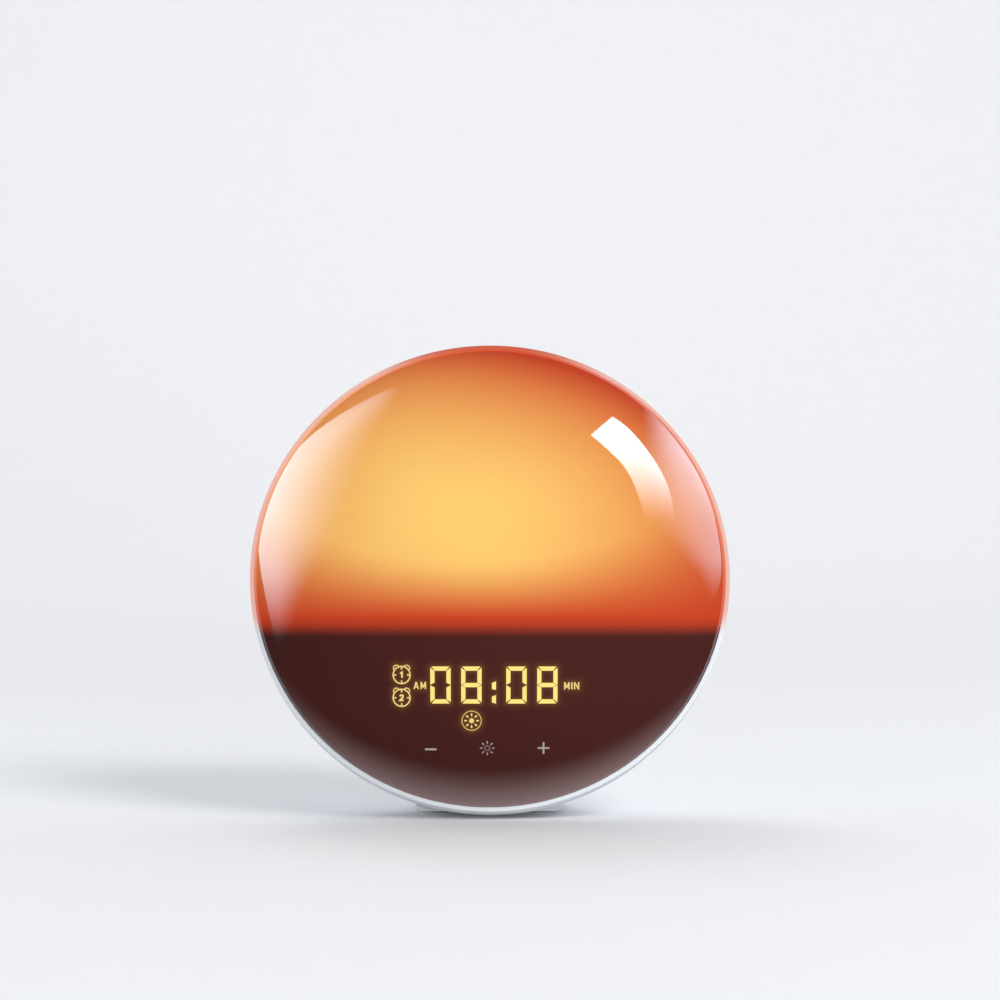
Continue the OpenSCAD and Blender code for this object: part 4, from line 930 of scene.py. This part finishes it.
def seen_in_dome(px, py):
    """Points that the dome mirrors to picture points.

    The ray along v meets the sphere at p, where its normal is n, and goes on along v - 2 (v . n) n for the cards'
    reach.
    """
    v = picture_ray(px, py)
    centre, r = SPHERE_CENTRE * MM, sphere_r * MM
    b = ((camera_at - centre) * v).sum(-1)
    t = -b - np.sqrt(np.clip(b ** 2 - ((camera_at - centre) ** 2).sum() + r ** 2, 0, None))
    p = camera_at + t[..., None] * v
    n = (p - centre) / r
    return p + CARD_REACH * (v - 2 * (v * n).sum(-1, keepdims=True) * n)


def mirror_card(name, sharp_edge, soft_edge, strength, along, across, colour):
    """A light card whose mirror image on the dome lies between two edges, given in picture pixels.

    Each edge is a polynomial through its points. The light is strength x along(y) x across(t), for the picture's y
    and t from the sharp to the soft edge.
    """
    s, t = np.linspace(0, 1, CARD_ROWS), np.linspace(0, 1, CARD_COLUMNS)[None, :, None]

    def line(points):
        points = np.asarray(points, float)
        k = np.linspace(0, 1, len(points))
        fit = partial(np.polynomial.Polynomial.fit, k, deg=min(CARD_DEGREE, len(points) - 1))
        return np.stack([fit(points[:, i])(s) for i in (0, 1)], -1)

    picture = line(sharp_edge)[:, None] * (1 - t) + line(soft_edge)[:, None] * t
    points = seen_in_dome(picture[..., 0], picture[..., 1]).reshape(-1, 3)
    piece = mesh_object(name, points, grid_faces(CARD_ROWS, CARD_COLUMNS), STUDIO_SHARP_OVER)
    layer = piece.data.attributes.new("fade", "FLOAT", "POINT")
    layer.data.foreach_set("value", (along(picture[..., 1]) * across(t[..., 0])).reshape(-1).astype(np.float32))
    piece.data.materials.append(emitter(name + "_light", colour, strength, "fade"))
    only_mirrored(piece)


def eased(x, low, high):
    """0 below low, 1 above high, eased between."""
    x = np.clip((x - low) / (high - low), 0, 1)
    return x * x * (3 - 2 * x)


def rise_to(y, start, length):
    """The square root of the way from start, 1 after length."""
    return np.sqrt(np.clip((y - start) / length, 0, 1))


LEFT_LIGHT_EDGE = [(391.8, 387), (347, 410.4), (320.4, 428), (299, 448), (281, 469), (270.4, 489), (262.8, 508.6),
                   (259.6, 530), (259.3, 550), (260.5, 569), (263.2, 590.7), (268.6, 612), (274.4, 634), (281, 656)]
LEFT_LIGHT_FADE = [(402, 387), (392, 410.4), (384, 428), (375, 448), (365, 469), (360, 489), (353, 508.6),
                   (344, 530), (332, 550), (319, 569), (309, 590.7), (300, 612), (292, 634), (287, 656)]
RIGHT_LIGHT_EDGE = [(650, 402), (675, 430), (693, 456), (704, 480), (711.5, 504), (717, 528), (720.5, 552),
                    (721, 576), (713, 600)]
RIGHT_LIGHT_FADE = [(642, 402), (644, 430), (642, 456), (641, 480), (645, 504), (657, 528), (680, 552),
                    (698, 576), (708, 600)]
WINDOW_INNER = [(590.8, 435.2), (604, 446), (616.3, 457.6), (625, 468), (632.2, 479.9), (637, 492), (641.5, 505.4),
                (645, 524.5)]
WINDOW_OUTER = [(612.4, 416.7), (623, 424), (634, 434), (645, 447.5), (655, 461), (663, 475), (669.5, 491),
                (675.3, 518.1)]

mirror_card("left_softbox", LEFT_LIGHT_EDGE, LEFT_LIGHT_FADE, 5.2,
            lambda y: rise_to(y, 388, 120) * (1 - eased(y, 562, 646)),
            lambda t: (0.8 + 0.2 * eased(t, 0, 0.25)) * (1 - eased(t, 0.25, 1.0)), colour=(205, 240, 255))
mirror_card("right_softbox", RIGHT_LIGHT_EDGE, RIGHT_LIGHT_FADE, 3.35,
            lambda y: eased(y, 392, 462) * (1 - 0.2 * eased(y, 480, 530)) * (1 - eased(y, 550, 604)),
            lambda t: (0.95 + 0.05 * eased(t, 0, 0.3)) * (1 - eased(t, 0.3, 1.1)), colour=(200, 240, 255))
mirror_card("window_strip", WINDOW_INNER, WINDOW_OUTER, 18.0,
            lambda y: 1 - eased(y, 438, 526), lambda t: 1 - 0.2 * t, colour=(212, 240, 255))
dark_tent()
cove()


def softlight(name, location, size, energy):
    """A square area lamp that looks at the clock's middle; neither the camera nor the gloss shows it."""
    lamp = bpy.data.lights.new(name, "AREA")
    lamp.shape, lamp.size, lamp.energy = "SQUARE", size, energy
    piece = put_object(name, lamp)
    piece.location = location
    piece.visible_camera = piece.visible_glossy = False
    x, y, z = np.array(CLOCK_MIDDLE) - location
    piece.rotation_euler = (math.atan2(math.hypot(x, y), -z), 0, math.atan2(-x, y))


softlight("key_light", (2.72, -2.55, 3.0), 2.0, 101)
softlight("fill_light", (-1.7, -1.2, 1.2), 1.4, 1.5)
softlight("low_light", (0.4, -1.5, 0.04), 0.4, 13)
softlight("rear_light", (-0.6, 1.7, 2.2), 1.0, 9)
world = bpy.data.worlds.new("studio_world")
bpy.context.scene.world = world
world.use_nodes = True
feed(world.node_tree, world.node_tree.nodes["Background"], {"Color": SKY, "Strength": SKY_STRENGTH})

bpy.context.scene.view_settings.view_transform = "Standard"
